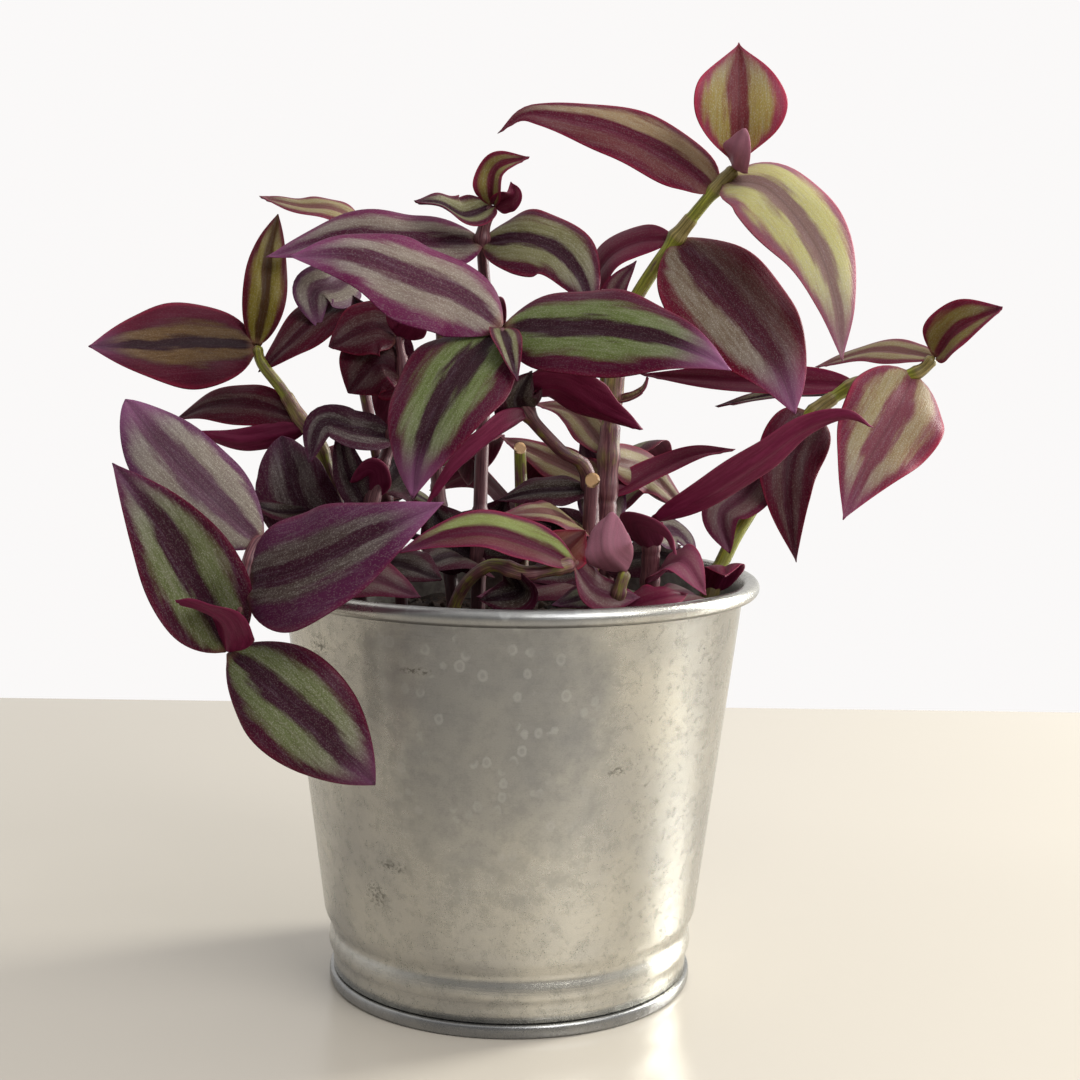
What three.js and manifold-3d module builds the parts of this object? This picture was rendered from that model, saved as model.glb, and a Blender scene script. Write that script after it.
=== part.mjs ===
// A spiderwort (tradescantia) with striped leaves, growing in a small galvanised steel pot.
// Millimetres, +Z up, origin at the centre of the pot's underside. -Y is the plant's front.
import * as THREE from 'three';
import { mergeVertices } from 'three/addons/utils/BufferGeometryUtils.js';
import Module from 'manifold-3d';

// ---------------------------------------------------------------- driving dimensions
const RIM_RADIUS = 60;            // outside of the rolled rim
const RIM_BEAD = 2;               // radius of the rolled bead
const BEAD_START = -130;          // the bead's arc in degrees, from the wall round to the inside
const BEAD_END = 150;
const BEAD_STEPS = 9;
const BEAD_SEAM = 0.2;            // between the wall's top and the bead
const POT_HEIGHT = 101;           // table to the top of the rim
const WALL_TOP_RADIUS = 56;       // outside of the wall just under the rim
const WALL_FOOT_RADIUS = 46.2;    // outside of the wall above the groove
const WALL_FOOT_HEIGHT = 18;      // where the tapered wall ends
const GROOVE_RADIUS = 44.2;
const GROOVE_HEIGHT = 14;
const RIDGE_RADIUS = 45;
const RIDGE_HEIGHT = 10.5;
const BAND_RADIUS = 44;           // short straight band under the ridge
const BAND_TOP = 7.5;
const SHEET_BEND = 0.8;           // half the length of each bend in the sheet
const WALL_THICKNESS = 0.8;
const BASE_RADIUS = 45;
const BASE_HEIGHT = 3.2;
const BASE_EDGE = 0.7;            // rounding of the base plate's edge
const SOIL_HEIGHT = 86;           // table to the top of the soil
const SOIL_CROWN = 2.5;           // how much the soil rises in the middle
const STEM_DEPTH = 14;            // stem hidden in the soil
const GAP = 0.3;                  // left between pieces that touch
const LEAF_THICKNESS = 0.9;
const LEAF_ROWS = 7;              // steps along a leaf
const LEAF_COLUMNS = 2;           // steps across a leaf
const SMALL_ROWS = 5;
const SMALL_COLUMNS = 2;
const LEAF_BASE_WIDTH = 2.2;      // a leaf narrows to this where it leaves the stem
const LEAF_TIP_WIDTH = 0.7;
const USUAL_FOLD = 10;            // rise of each half of a leaf in degrees
const USUAL_BASE = 0.6;           // how slowly a leaf widens
const USUAL_POINT = 1.05;         // how slowly it narrows
const POT_SEGMENTS = 40;
const STEM_SIDES = 6;
const STEM_STEPS = 9;
const FACE_SPOT = 0.4;            // share of the leaf's length where its facing direction is given
const MERGE_DISTANCE = 1e-4;
const SLIVER = 0.02;              // detail smaller than this is smoothed away after a cut

// ---------------------------------------------------------------- colours and finishes
const FINISHES = {
  steel: { color: 0xa8a79d, roughness: 0.38, metalness: 0.9 },
  soil: { color: 0x2c1c12, roughness: 0.95, metalness: 0 },
  stem: { color: 0x8b5a6b, roughness: 0.55, metalness: 0 },
  leaf: { color: 0x5a2b4c, roughness: 0.45, metalness: 0 },
};

// ---------------------------------------------------------------- the plant, in millimetres
// Each stem: its name, and the points of its centre line with the radius at each.
const STEMS = [
  ["tall", [[22, -4, 99, 2.2], [22.5, -2, 125.5, 2.2], [23.5, 0, 143.5, 2.2], [25.5, 2, 160.5, 1.9],
    [29.5, 3, 169.5, 1.7], [38, 1, 182.5, 1.6], [46.5, -3, 193.5, 1.4], [51.5, -4, 199, 1]]],
  ["centre", [[18.5, -10, 99.5, 1.7], [17.5, -11, 125.5, 1.6], [10.5, -15, 132.5, 1.5],
    [3, -20, 141, 1.5], [-1.5, -24, 150.5, 1.4], [-3, -27, 160.5, 1.2]]],
  ["crown", [[-9, 8, 96.5, 1.8], [-8.5, 12, 132.5, 1.7], [-7.5, 14, 160, 1.5], [-9, 14, 182, 1.4],
    [-6.5, 12, 190.5, 1]]],
  ["left", [[-40, 4, 98, 1.7], [-47.5, 5, 129, 1.6], [-53.5, 6, 138, 1.5], [-57.5, 6, 144.5, 1.4],
    [-62.5, 6, 151, 1.4], [-64, 6, 155.5, 1.1]]],
  ["upper_left", [[-29, 12, 97, 1.6], [-37, 16, 137, 1.4], [-42, 20, 159.5, 1.3],
    [-42.5, 22, 173.5, 1.2], [-40.5, 21, 187.5, 1]]],
  ["hanging", [[-41.5, -22, 99.5, 1.8], [-48.5, -30, 108.5, 1.7], [-56, -38, 112, 1.6],
    [-59, -43, 103.5, 1.5], [-62.5, -42, 88.5, 1.3]]],
  ["right", [[46.5, -8, 93.5, 1.8], [52, -6, 108.5, 1.8], [59, -2, 120, 1.7], [66, 0, 134.5, 1.6],
    [72, 0, 141, 1.6], [82.5, 0, 148, 1.5], [96, -2, 151, 1.3], [100.5, -3, 155, 1]]],
  ["front", [[-13, -40, 97, 1.4], [-5.5, -46, 108.5, 1.4], [4, -48, 107.5, 1.4],
    [14, -46, 109.5, 1.3]]],
  ["stub", [[23, -36, 95.5, 1.5], [24, -40, 102.5, 1.5], [25.5, -40, 107.5, 1.3]]],
  ["short", [[32, -22, 95.5, 1.9], [32, -24, 110, 1.8], [32.5, -24, 117, 1.4]]],
  ["inner", [[-37, -6, 99.5, 1.7], [-34.5, -4, 119, 1.6], [-30, 0, 134, 1.5], [-27.5, 2, 147.5, 1.3],
    [-29, 4, 158.5, 1]]],
  ["cut_front", [[18.5, -16, 97, 1.8], [18, -16, 114.5, 1.75], [18.5, -16, 127, 1.7]]],
  ["cut_back", [[2, 7, 98, 1.6], [1.5, 7, 118, 1.55], [1, 7, 132.5, 1.5]]],
  ["back_right", [[18, 24, 92, 1.8], [22, 30, 112, 1.7], [24, 34, 134, 1.5], [22, 34, 152, 1.1]]],
  ["back_left", [[-16, 20, 92, 1.8], [-20, 28, 114, 1.7], [-22, 32, 140, 1.5], [-20, 32, 160, 1.1]]],
  ["back", [[0, 32, 92, 1.8], [1, 44, 107, 1.7], [2, 56, 111, 1.5], [2, 67, 105, 1.2]]],
];

// Each leaf: name, stem, place on the stem (counted in stem points), the points that its midrib
// passes after the stem, the last one its tip, the way that its upper side faces, its width and
// its shape: fold is the rise of each half in degrees, base and point say how slowly it widens and
// narrows.
const LEAVES = [
  ["tall_tip", "tall", 7, [[51.5, -8, 211.5], [51.5, -3, 228]], [0.05, -1, 0.1], 23.5,
    {"fold": 20, "base": 1.4, "point": 1.4}],
  ["tall_left", "tall", 6,
    [[41, -1, 199], [31.5, 2, 204.5], [19.5, 6, 209.5], [6, 10, 212.5], [0, 12, 212.5], [-5.5, 13, 208]],
    [-0.1, -0.85, 0.55], 16.5, {"fold": 14, "base": 0.5, "point": 1.1}],
  ["tall_right", "tall", 6.5, [[58.5, -10, 194], [68.5, -18, 181], [73, -24, 167.5], [74.5, -26, 154]],
    [0.3, -0.95, 0.3], 23.5, {"fold": 10, "base": 0.42, "point": 1.1}],
  ["tall_arch", "tall", 5, [[29.5, 6, 182], [22, 10, 178], [16.5, 14, 168.5], [13.5, 16, 159]],
    [-0.3, -0.65, 0.7], 13.5, {"fold": 16, "base": 0.8, "point": 1}],
  ["tall_big", "tall", 5, [[47, -9, 171.5], [55, -17, 161], [61, -23, 151], [64, -27, 142]],
    [0.15, -0.97, 0.3], 28.5, {"fold": 8, "base": 0.62, "point": 1}],
  ["centre_fold", "centre", 3.6, [[10.5, -20, 147.5], [20, -13, 142], [30.5, -9, 137]],
    [0.2, 0.8, 0.55], 14, {"fold": 20}],
  ["centre_right", "centre", 5,
    [[9, -32, 161], [21, -37, 160.5], [33, -41, 158.5], [41.5, -43, 155.5], [47.5, -43, 152]],
    [0.1, -0.85, 0.5], 24, {"fold": 6}],
  ["centre_front", "centre", 5,
    [[-12, -38, 150.5], [-17.5, -45, 141], [-20.5, -48, 132], [-21.5, -48, 123.5]], [-0.25, -0.9, 0.35],
    26, {"fold": 16, "base": 0.66, "point": 1}],
  ["centre_left", "centre", 5,
    [[-12, -28, 167.5], [-22.5, -32, 171.5], [-36.5, -36, 176], [-49.5, -38, 175.5]], [0, -0.8, 0.6],
    24.5, {"fold": 6}],
  ["crown_left", "crown", 3, [[-24, 6, 181.5], [-43, 4, 182.5], [-61.5, 6, 177]], [0, -0.75, 0.65],
    19.5, {"fold": 12}],
  ["crown_right", "crown", 3, [[1, 8, 182.5], [10, 6, 179.5], [15.5, 2, 172.5], [18, 0, 164]],
    [0.1, -0.85, 0.5], 20, {"fold": 10}],
  ["left_big", "left", 5, [[-76.5, 0, 156], [-87, -8, 155.5], [-99, -18, 155]], [0, -0.95, 0.3], 22.5,
    {"fold": 8}],
  ["left_upright", "left", 5, [[-62, 6, 166.5], [-61.5, 10, 177], [-60, 16, 188]], [0.2, -0.95, -0.1],
    11, {"fold": 10, "point": 0.9}],
  ["left_inner", "upper_left", 2.7, [[-48, 12, 164], [-56, 8, 156.5], [-63.5, 6, 149]],
    [-0.3, -0.9, 0.35], 14, {"fold": 12, "base": 0.5, "point": 0.95}],
  ["left_low", "left", 2, [[-64.5, 6, 141], [-76.5, 12, 140.5], [-86.5, 18, 136.5]], [0, -0.9, 0.4],
    11.5, {"fold": 12}],
  ["left_upright_low", "left", 0.3, [[-52, -2, 117], [-54.5, -4, 126], [-56.5, -3, 134]],
    [0.1, -0.95, 0.2], 20, {"fold": 14, "base": 0.7, "point": 0.7}],
  ["hanging_back", "hanging", 2, [[-66.5, -41, 123], [-77, -37, 132.5], [-87.5, -31, 143.5]],
    [0.3, -0.85, 0.45], 21.5, {"fold": 8, "point": 0.75}],
  ["hanging_left", "hanging", 4,
    [[-66, -46, 98], [-70.5, -50, 109], [-76, -54, 119.5], [-84.5, -56, 131]], [0.2, -0.95, 0.2], 23,
    {"fold": 20}],
  ["hanging_front", "hanging", 3, [[-45, -53, 109], [-29.5, -60, 117], [-14, -60, 124]],
    [0.1, -0.85, 0.5], 27, {"fold": 10, "base": 0.46}],
  ["hanging_low", "hanging", 4, [[-50.5, -50, 81], [-38.5, -52, 70], [-29.5, -47, 59.5]],
    [0.1, -0.98, 0.15], 24, {"fold": 6, "base": 0.72, "point": 0.9}],
  ["front_low", "front", 3, [[5, -49, 114], [-5.5, -52, 117], [-15, -54, 116], [-24, -55, 112.5]],
    [0, -0.8, 0.6], 11, {"fold": 20}],
  ["centre_pale", "centre", 0.5, [[8.5, -24, 118.5], [-2.5, -28, 118.5]], [0, -0.6, 0.8], 15,
    {"fold": 14}],
  ["short_rim", "short", 0.5, [[38, -34, 109], [43.5, -40, 102]], [0.2, -0.7, 0.6], 11, {"fold": 20}],
  ["short_long", "short", 2,
    [[40.5, -27, 122], [47.5, -30, 126.5], [56.5, -33, 133], [65, -34, 139.5], [74, -35, 142.5],
      [80.5, -35, 139.5]],
    [-0.1, 0.8, 0.6], 10, {"fold": 14}],
  ["right_drop", "right", 4, [[66, -8, 131.5], [65, -12, 121], [67.5, -12, 106]], [0.1, -0.9, 0.3], 17,
    {"fold": 18, "base": 0.4, "point": 1.1}],
  ["right_fold", "right", 3, [[56, -7, 122.5], [49.5, -11, 117], [51.5, -13, 108]], [-0.3, -0.9, 0.4],
    15, {"fold": 20, "base": 0.6, "point": 0.9}],
  ["tall_pink", "tall", 0.9, [[8.5, 10, 128.5], [-4, 12, 133.5]], [0, -0.8, 0.6], 12, {"fold": 14}],
  ["right_tip", "right", 7, [[104.5, -8, 162], [113.5, -14, 167]], [-0.1, -0.8, 0.6], 15,
    {"fold": 30, "base": 0.5, "point": 1}],
  ["right_level", "right", 5, [[69.5, 4, 148.5], [50.5, 12, 148.5], [31, 20, 149.5]], [0, -0.8, 0.6],
    9.8, {"fold": 20}],
  ["right_big", "right", 6, [[90.5, -12, 143], [82, -22, 131], [75.5, -28, 118]], [0.1, -0.95, 0.3],
    25.5, {"fold": 12, "base": 0.55, "point": 1.15}],
  ["inner_arch", "inner", 2, [[-38.5, -6, 135.5], [-46, -8, 137], [-49, -10, 128]], [-0.3, -0.75, 0.6],
    12, {"fold": 20, "base": 0.5, "point": 0.9}],
  ["inner_back", "inner", 3, [[-35, 8, 157], [-40.5, 8, 168]], [0, -0.95, 0.2], 16, {"fold": 20}],
  ["back_right_out", "back_right", 3, [[34, 40, 158], [48, 44, 150]], [0.2, 0.5, 0.85], 19,
    {"fold": 10}],
  ["back_right_rear", "back_right", 3, [[14, 44, 158], [6, 55, 147]], [0, 0.6, 0.8], 18, {"fold": 10}],
  ["back_right_mid", "back_right", 1.6, [[32, 46, 129], [39, 58, 115]], [0.2, 0.7, 0.6], 20,
    {"fold": 10}],
  ["back_right_low", "back_right", 1.3, [[12, 44, 126], [2, 58, 116]], [0, 0.6, 0.8], 19, {"fold": 10}],
  ["back_left_out", "back_left", 3, [[-30, 38, 166], [-42, 42, 158]], [-0.2, 0.5, 0.85], 18,
    {"fold": 10}],
  ["back_left_rear", "back_left", 3, [[-12, 44, 166], [-5, 55, 157]], [0, 0.6, 0.8], 18, {"fold": 10}],
  ["back_left_mid", "back_left", 2, [[-30, 46, 145], [-37, 58, 130]], [-0.2, 0.7, 0.6], 20,
    {"fold": 10}],
  ["back_left_low", "back_left", 1.4, [[-12, 46, 130], [-14, 60, 117]], [0, 0.6, 0.8], 19,
    {"fold": 10}],
  ["back_end", "back", 3, [[6, 78, 98], [10, 84, 80]], [0.1, 0.95, 0.2], 19, {"fold": 10}],
];

// Young, small or hidden leaves, in the same terms. Each is one body with its stem.
const SMALL_LEAVES = [
  ["centre_strap", "centre", 3, [[-3, -28, 137.5], [-13, -34, 129.5], [-19.5, -36, 121]],
    [-0.5, 0.6, 0.6], 9, {"fold": 30}],
  ["centre_bud", "centre", 5, [[-1.5, -37, 157], [1, -42, 149]], [0.2, -0.95, 0.1], 8,
    {"fold": 24, "base": 0.6, "point": 1.1}],
  ["centre_sheath", "centre", 3, [[1, -26, 144.5], [4, -26, 151]], [0.1, -0.95, 0.1], 13,
    {"fold": 14, "base": 0.6, "point": 1.1}],
  ["crown_tip", "crown", 4, [[-7, 10, 194], [-6.5, 10, 198], [-4, 9, 200.5], [2.5, 8, 202]],
    [-0.5, -0.85, 0.1], 9.5, {"fold": 30, "base": 0.6, "point": 1.2}],
  ["crown_wing", "crown", 4, [[-13, 8, 188], [-19, 6, 190.5], [-25.5, 6, 191]], [0, -0.55, 0.85], 15,
    {"fold": 20, "base": 0.6}],
  ["crown_bud", "crown", 4, [[-1.5, 8, 192.5], [-2, 8, 196]], [0.6, -0.8, 0], 7, {"fold": 24}],
  ["left_under", "left", 1.7, [[-62.5, 4, 133], [-69.5, 3, 132.5], [-79, 2, 134.5]], [0, 0.9, 0.2], 7,
    {"fold": 20}],
  ["left_dark", "left", 0.6, [[-56.5, -6, 116], [-64.5, -8, 119]], [0, -0.8, 0.5], 10, {"fold": 20}],
  ["upper_left_drop", "upper_left", 3, [[-46, 14, 171], [-50.5, 10, 168.5], [-49, 9, 159.5]],
    [0, -0.95, 0.3], 15, {"fold": 16, "base": 0.5}],
  ["upper_left_tip", "upper_left", 4, [[-47.5, 19, 190], [-55, 18, 190.5], [-65, 18, 192.5]],
    [0, -0.6, 0.8], 10, {"fold": 14, "base": 0.4, "point": 1}],
  ["hanging_bud", "hanging", 4, [[-62, -50, 96], [-66.5, -54, 100], [-72, -54, 101.5]],
    [0.3, 0.9, -0.3], 13.5, {"fold": 24, "base": 0.7}],
  ["front_rim_left", "front", 1.5, [[2, -46, 103], [-7, -45, 101]], [0, -0.7, 0.7], 11, {"fold": 14}],
  ["front_rim_right", "front", 3, [[19.5, -42, 103], [29, -38, 101]], [0, -0.7, 0.7], 11, {"fold": 14}],
  ["centre_dark", "centre", 0.9, [[5, -14, 122.5], [-4, -14, 120]], [0, -0.6, 0.8], 11, {"fold": 14}],
  ["stub_shield", "stub", 2, [[21.5, -44, 111.5], [21, -42, 115.5], [22.5, -38, 120]], [0.2, 0.9, 0.1],
    12, {"fold": 20, "base": 0.6, "point": 0.8}],
  ["short_ring", "short", 1, [[29, -32, 117], [35, -36, 115], [37, -37, 110.5]], [0, -0.4, 0.9], 11,
    {"fold": 24}],
  ["short_silver", "short", 1.5, [[38.5, -16, 113.5], [43.5, -18, 108]], [0, -0.9, 0.4], 10,
    {"fold": 14}],
  ["tall_back_right", "tall", 0.8, [[35.5, 4, 127], [44.5, 6, 130.5], [54.5, 8, 131.5]], [0, -0.6, 0.8],
    8, {"fold": 20}],
  ["tall_striped", "tall", 1.2, [[33.5, 8, 125], [43.5, 8, 115]], [-0.2, -0.8, 0.5], 13, {"fold": 14}],
  ["tall_narrow", "tall", 0.5, [[21, 6, 121], [18.5, 8, 129.5], [16, 8, 135.5]], [0, -1, 0.1], 12.5,
    {"fold": 14}],
  ["tall_olive", "tall", 1.3, [[14, 12, 140], [4, 14, 142]], [0, -0.8, 0.6], 10, {"fold": 14}],
  ["right_twist", "right", 7, [[95.5, 2, 156], [87, 8, 156.5], [74.5, 14, 152]], [0, -0.6, 0.8], 11,
    {"fold": 12}],
  ["right_under", "right", 4.8, [[63.5, 14, 145], [50.5, 22, 141.5]], [0, -0.6, 0.8], 7, {"fold": 20}],
  ["inner_upright", "inner", 0.8, [[-40, -6, 126], [-42.5, -6, 137]], [0.2, -0.95, 0.1], 10,
    {"fold": 30}],
  ["inner_left", "inner", 4, [[-35, 2, 160.5], [-45.5, 0, 155.5]], [-0.1, -0.85, 0.5], 17,
    {"fold": 14, "base": 0.5, "point": 0.9}],
  ["inner_low", "inner", 3.2, [[-33.5, 0, 152], [-40.5, -3, 144.5]], [-0.2, -0.9, 0.3], 21,
    {"fold": 12, "base": 0.5, "point": 0.9}],
  ["inner_bud", "inner", 1, [[-35, -6, 125.5], [-39.5, -8, 123.5]], [0, 0.8, 0.5], 10, {"fold": 20}],
  ["back_right_side", "back_right", 1, [[34, 38, 120], [46, 47, 112]], [0.3, 0.3, 0.9], 17,
    {"fold": 10}],
  ["back_left_side", "back_left", 1, [[-34, 36, 119], [-47, 44, 112]], [-0.3, 0.3, 0.9], 18,
    {"fold": 10}],
  ["back_end_left", "back", 3, [[-8, 77, 104], [-22, 82, 96]], [-0.1, 0.8, 0.5], 17, {"fold": 10}],
  ["back_over_right", "back", 2, [[15, 62, 120], [27, 68, 113]], [0.2, 0.5, 0.8], 17, {"fold": 10}],
  ["back_over_left", "back", 1.6, [[-12, 58, 121], [-25, 64, 115]], [-0.2, 0.5, 0.8], 17, {"fold": 10}],
  ["back_left_floor", "back_left", 0.6, [[-30, 30, 107], [-45, 34, 104]], [-0.2, 0.3, 0.9], 16,
    {"fold": 10}],
  ["back_right_floor", "back_right", 0.5, [[31, 32, 107], [44, 35, 104]], [0.2, 0.3, 0.9], 16,
    {"fold": 10}],
  ["crown_floor", "crown", 0.35, [[-14, 22, 111], [-9, 36, 106]], [0, 0.4, 0.9], 15, {"fold": 10}],
  ["left_floor", "left", 0.4, [[-49, 14, 110], [-53, 26, 104]], [-0.3, 0.3, 0.9], 15, {"fold": 10}],
  ["upper_left_floor", "upper_left", 0.5, [[-35, 28, 118], [-37, 42, 110]], [-0.2, 0.4, 0.9], 16,
    {"fold": 10}],
  ["centre_floor", "centre", 0.15, [[8, -24, 102], [-8, -34, 100]], [0, -0.5, 0.85], 15, {"fold": 10}],
  ["crown_floor_front", "crown", 0.1, [[-14, -6, 106], [-24, -18, 104]], [0, -0.6, 0.8], 17,
    {"fold": 10}],
  ["crown_veil", "crown", 0.2, [[-16, 10, 108], [-22, 12, 117]], [0, -0.95, 0.2], 17, {"fold": 14}],
  ["crown_veil_right", "crown", 0.3, [[2, 6, 109], [9, 4, 112]], [0, -0.8, 0.5], 16, {"fold": 14}],
  ["left_floor_front", "left", 0.1, [[-40, -10, 106], [-34, -24, 104]], [0, -0.6, 0.8], 15,
    {"fold": 10}],
  ["hanging_floor", "hanging", 0.1, [[-32, -34, 104], [-20, -42, 101]], [0, -0.6, 0.8], 14,
    {"fold": 10}],
  ["inner_floor", "inner", 0.1, [[-28, -16, 105], [-16, -28, 103]], [0, -0.6, 0.8], 16, {"fold": 10}],
  ["upper_left_veil", "upper_left", 0.25, [[-34, 8, 110], [-41, 6, 117]], [0, -0.95, 0.2], 16,
    {"fold": 14}],
  ["back_left_veil", "back_left", 0.4, [[-8, 20, 108], [-2, 18, 118]], [0, -0.95, 0.2], 18,
    {"fold": 14}],
  ["back_right_veil", "back_right", 0.35, [[12, 22, 108], [4, 20, 114]], [0, -0.9, 0.3], 18,
    {"fold": 14}],
  ["tall_floor", "tall", 0.1, [[14, -16, 104], [2, -26, 103]], [0, -0.6, 0.8], 16, {"fold": 10}],
  ["tall_floor_right", "tall", 0.2, [[34, -10, 107], [44, -16, 104]], [0, -0.6, 0.8], 15, {"fold": 10}],
  ["short_floor", "short", 0.2, [[22, -32, 101], [9, -41, 99.5]], [0, -0.5, 0.85], 14, {"fold": 10}],
  ["stub_floor", "stub", 0.3, [[33, -39, 101.5], [40, -34, 101.5]], [0, -0.5, 0.85], 11, {"fold": 14}],
  ["right_floor", "right", 0.1, [[42, -20, 99.5], [30, -30, 100]], [0, -0.5, 0.85], 14, {"fold": 10}],
  ["right_rim", "right", 0.3, [[50, -16, 105.5], [49, -26, 104.5]], [0.1, -0.6, 0.8], 11, {"fold": 14}],
  ["front_red", "front", 2.6, [[12, -42, 112.5], [16.5, -38, 116]], [0, -0.9, 0.4], 12, {"fold": 14}],
  ["inner_magenta", "inner", 4, [[-26.5, 0, 162.5], [-31.5, 2, 166.5]], [0.2, 0.8, 0.5], 11,
    {"fold": 14}],
  ["tall_curl", "tall", 2, [[27.5, -3, 144.5], [30.5, -4, 146.5], [31.5, -4, 149.5]], [-0.3, -0.8, 0.6],
    2.8, {"fold": 30}],
  ["tall_bud", "tall", 7, [[51, -12, 202], [52.5, -14, 207]], [0.4, 0.9, 0], 9,
    {"fold": 14, "base": 0.5, "point": 0.7}],
  ["left_behind", "left", 1, [[-47, 14, 124.5], [-42, 20, 131.5]], [0, -0.9, 0.3], 15, {"fold": 12}],
  ["inner_behind", "inner", 1.2, [[-30, 8, 125], [-28.5, 12, 132.5]], [0, -0.95, 0.2], 17,
    {"fold": 12}],
  ["tall_point", "tall", 3, [[23.5, 0, 169.5], [28.5, -2, 177]], [-0.2, -0.9, 0.3], 7, {"fold": 20}],
];

// ---------------------------------------------------------------- solids and meshes
const wasm = await Module();
wasm.setup();

// A closed three.js geometry as a manifold solid.
function toSolid(geometry) {
  const bare = geometry.clone();
  bare.deleteAttribute('normal');
  bare.deleteAttribute('uv');
  const merged = mergeVertices(bare, MERGE_DISTANCE);
  return new wasm.Manifold(new wasm.Mesh({
    numProp: 3,
    vertProperties: new Float32Array(merged.attributes.position.array),
    triVerts: new Uint32Array(merged.index.array),
  }));
}

// A manifold solid as a three.js geometry.
function toGeometry(solid) {
  const mesh = solid.getMesh();
  const geometry = new THREE.BufferGeometry();
  const positions = new Float32Array(mesh.vertProperties);
  geometry.setAttribute('position', new THREE.BufferAttribute(positions, 3));
  geometry.setIndex(new THREE.BufferAttribute(new Uint32Array(mesh.triVerts), 1));
  geometry.computeVertexNormals();
  return geometry;
}

// The largest connected piece of a solid, with slivers smoothed away.
function largestPiece(solid) {
  const pieces = solid.decompose();
  pieces.sort((a, b) => b.volume() - a.volume());
  return pieces[0].simplify(SLIVER);
}

function boxesMeet(a, b) {
  const p = a.boundingBox();
  const q = b.boundingBox();
  return [0, 1, 2].every((i) => p.min[i] < q.max[i] && q.min[i] < p.max[i]);
}

// The solid without the space that the neighbours in the list take up.
function clearOf(solid, neighbours) {
  let result = solid;
  for (const other of neighbours) {
    if (boxesMeet(result, other)) result = result.subtract(other);
  }
  return result;
}

const plant = new THREE.Group();

function addMesh(name, geometry, finish) {
  const mesh = new THREE.Mesh(geometry, new THREE.MeshStandardMaterial(FINISHES[finish]));
  mesh.name = name;
  plant.add(mesh);
}

// ---------------------------------------------------------------- pot
// A profile of (radius, height) points turned round the Z axis.
function turned(profile) {
  return new THREE.LatheGeometry(profile, POT_SEGMENTS).rotateX(Math.PI / 2);
}

// Points of an arc round (radius, height), from one angle to another in degrees.
function arc(radius, height, r, from, to, steps) {
  const points = [];
  for (let i = 0; i <= steps; i++) {
    const angle = THREE.MathUtils.degToRad(from + ((to - from) * i) / steps);
    points.push(new THREE.Vector2(radius + r * Math.cos(angle), height + r * Math.sin(angle)));
  }
  return points;
}

// The outside of the sheet steel, from its foot on the base plate up to the rim.
function wallOutline() {
  return [
    [BAND_RADIUS, BASE_HEIGHT + GAP],
    [BAND_RADIUS, BAND_TOP],
    [RIDGE_RADIUS, RIDGE_HEIGHT - SHEET_BEND],
    [RIDGE_RADIUS, RIDGE_HEIGHT + SHEET_BEND],
    [GROOVE_RADIUS, GROOVE_HEIGHT],
    [GROOVE_RADIUS + SHEET_BEND / 2, GROOVE_HEIGHT + 2 * SHEET_BEND],
    [WALL_FOOT_RADIUS - SHEET_BEND / 2, WALL_FOOT_HEIGHT - SHEET_BEND],
    [WALL_FOOT_RADIUS, WALL_FOOT_HEIGHT + SHEET_BEND],
    [WALL_TOP_RADIUS, POT_HEIGHT - 2 * RIM_BEAD - BEAD_SEAM],
  ].map(([r, z]) => new THREE.Vector2(r, z));
}

// The wall's inside radius at a height, where the wall tapers.
function insideRadius(z) {
  const t = (z - WALL_FOOT_HEIGHT) / (POT_HEIGHT - 2 * RIM_BEAD - WALL_FOOT_HEIGHT);
  return THREE.MathUtils.lerp(WALL_FOOT_RADIUS, WALL_TOP_RADIUS, t) - WALL_THICKNESS;
}

function potWall() {
  const outside = wallOutline();
  const beadCentre = RIM_RADIUS - RIM_BEAD;
  const bead = arc(beadCentre, POT_HEIGHT - RIM_BEAD, RIM_BEAD, BEAD_START, BEAD_END, BEAD_STEPS);
  const inside = outside.map((p) => new THREE.Vector2(p.x - WALL_THICKNESS, p.y)).reverse();
  const profile = [...outside, ...bead, ...inside, outside[0]];
  return turned(profile);
}

function potBase() {
  const profile = [
    [0, 0],
    [BASE_RADIUS - BASE_EDGE, 0],
    [BASE_RADIUS, BASE_EDGE],
    [BASE_RADIUS, BASE_HEIGHT - BASE_EDGE],
    [BASE_RADIUS - BASE_EDGE, BASE_HEIGHT],
    [0, BASE_HEIGHT],
  ].map(([r, z]) => new THREE.Vector2(r, z));
  return turned(profile);
}

function soilBody() {
  const waist = BAND_RADIUS - WALL_THICKNESS - 3 * GAP;
  const shoulder = WALL_FOOT_HEIGHT + 3;
  const profile = [
    [0, BASE_HEIGHT + GAP],
    [waist, BASE_HEIGHT + GAP],
    [waist, shoulder - 1],
    [insideRadius(shoulder) - 2 * GAP, shoulder],
    [insideRadius(SOIL_HEIGHT) - 2 * GAP, SOIL_HEIGHT - 1],
    [insideRadius(SOIL_HEIGHT) * 0.6, SOIL_HEIGHT + SOIL_CROWN * 0.7],
    [0, SOIL_HEIGHT + SOIL_CROWN],
  ].map(([r, z]) => new THREE.Vector2(r, z));
  return turned(profile);
}

// ---------------------------------------------------------------- stems
// The stem's points as vectors, with one more under the soil's surface.
function stemPoints(rows) {
  const points = rows.map(([x, y, z]) => new THREE.Vector3(x, y, z));
  const first = points[0];
  const root = new THREE.Vector3(first.x, first.y, SOIL_HEIGHT - STEM_DEPTH);
  return [root, ...points];
}

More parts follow.
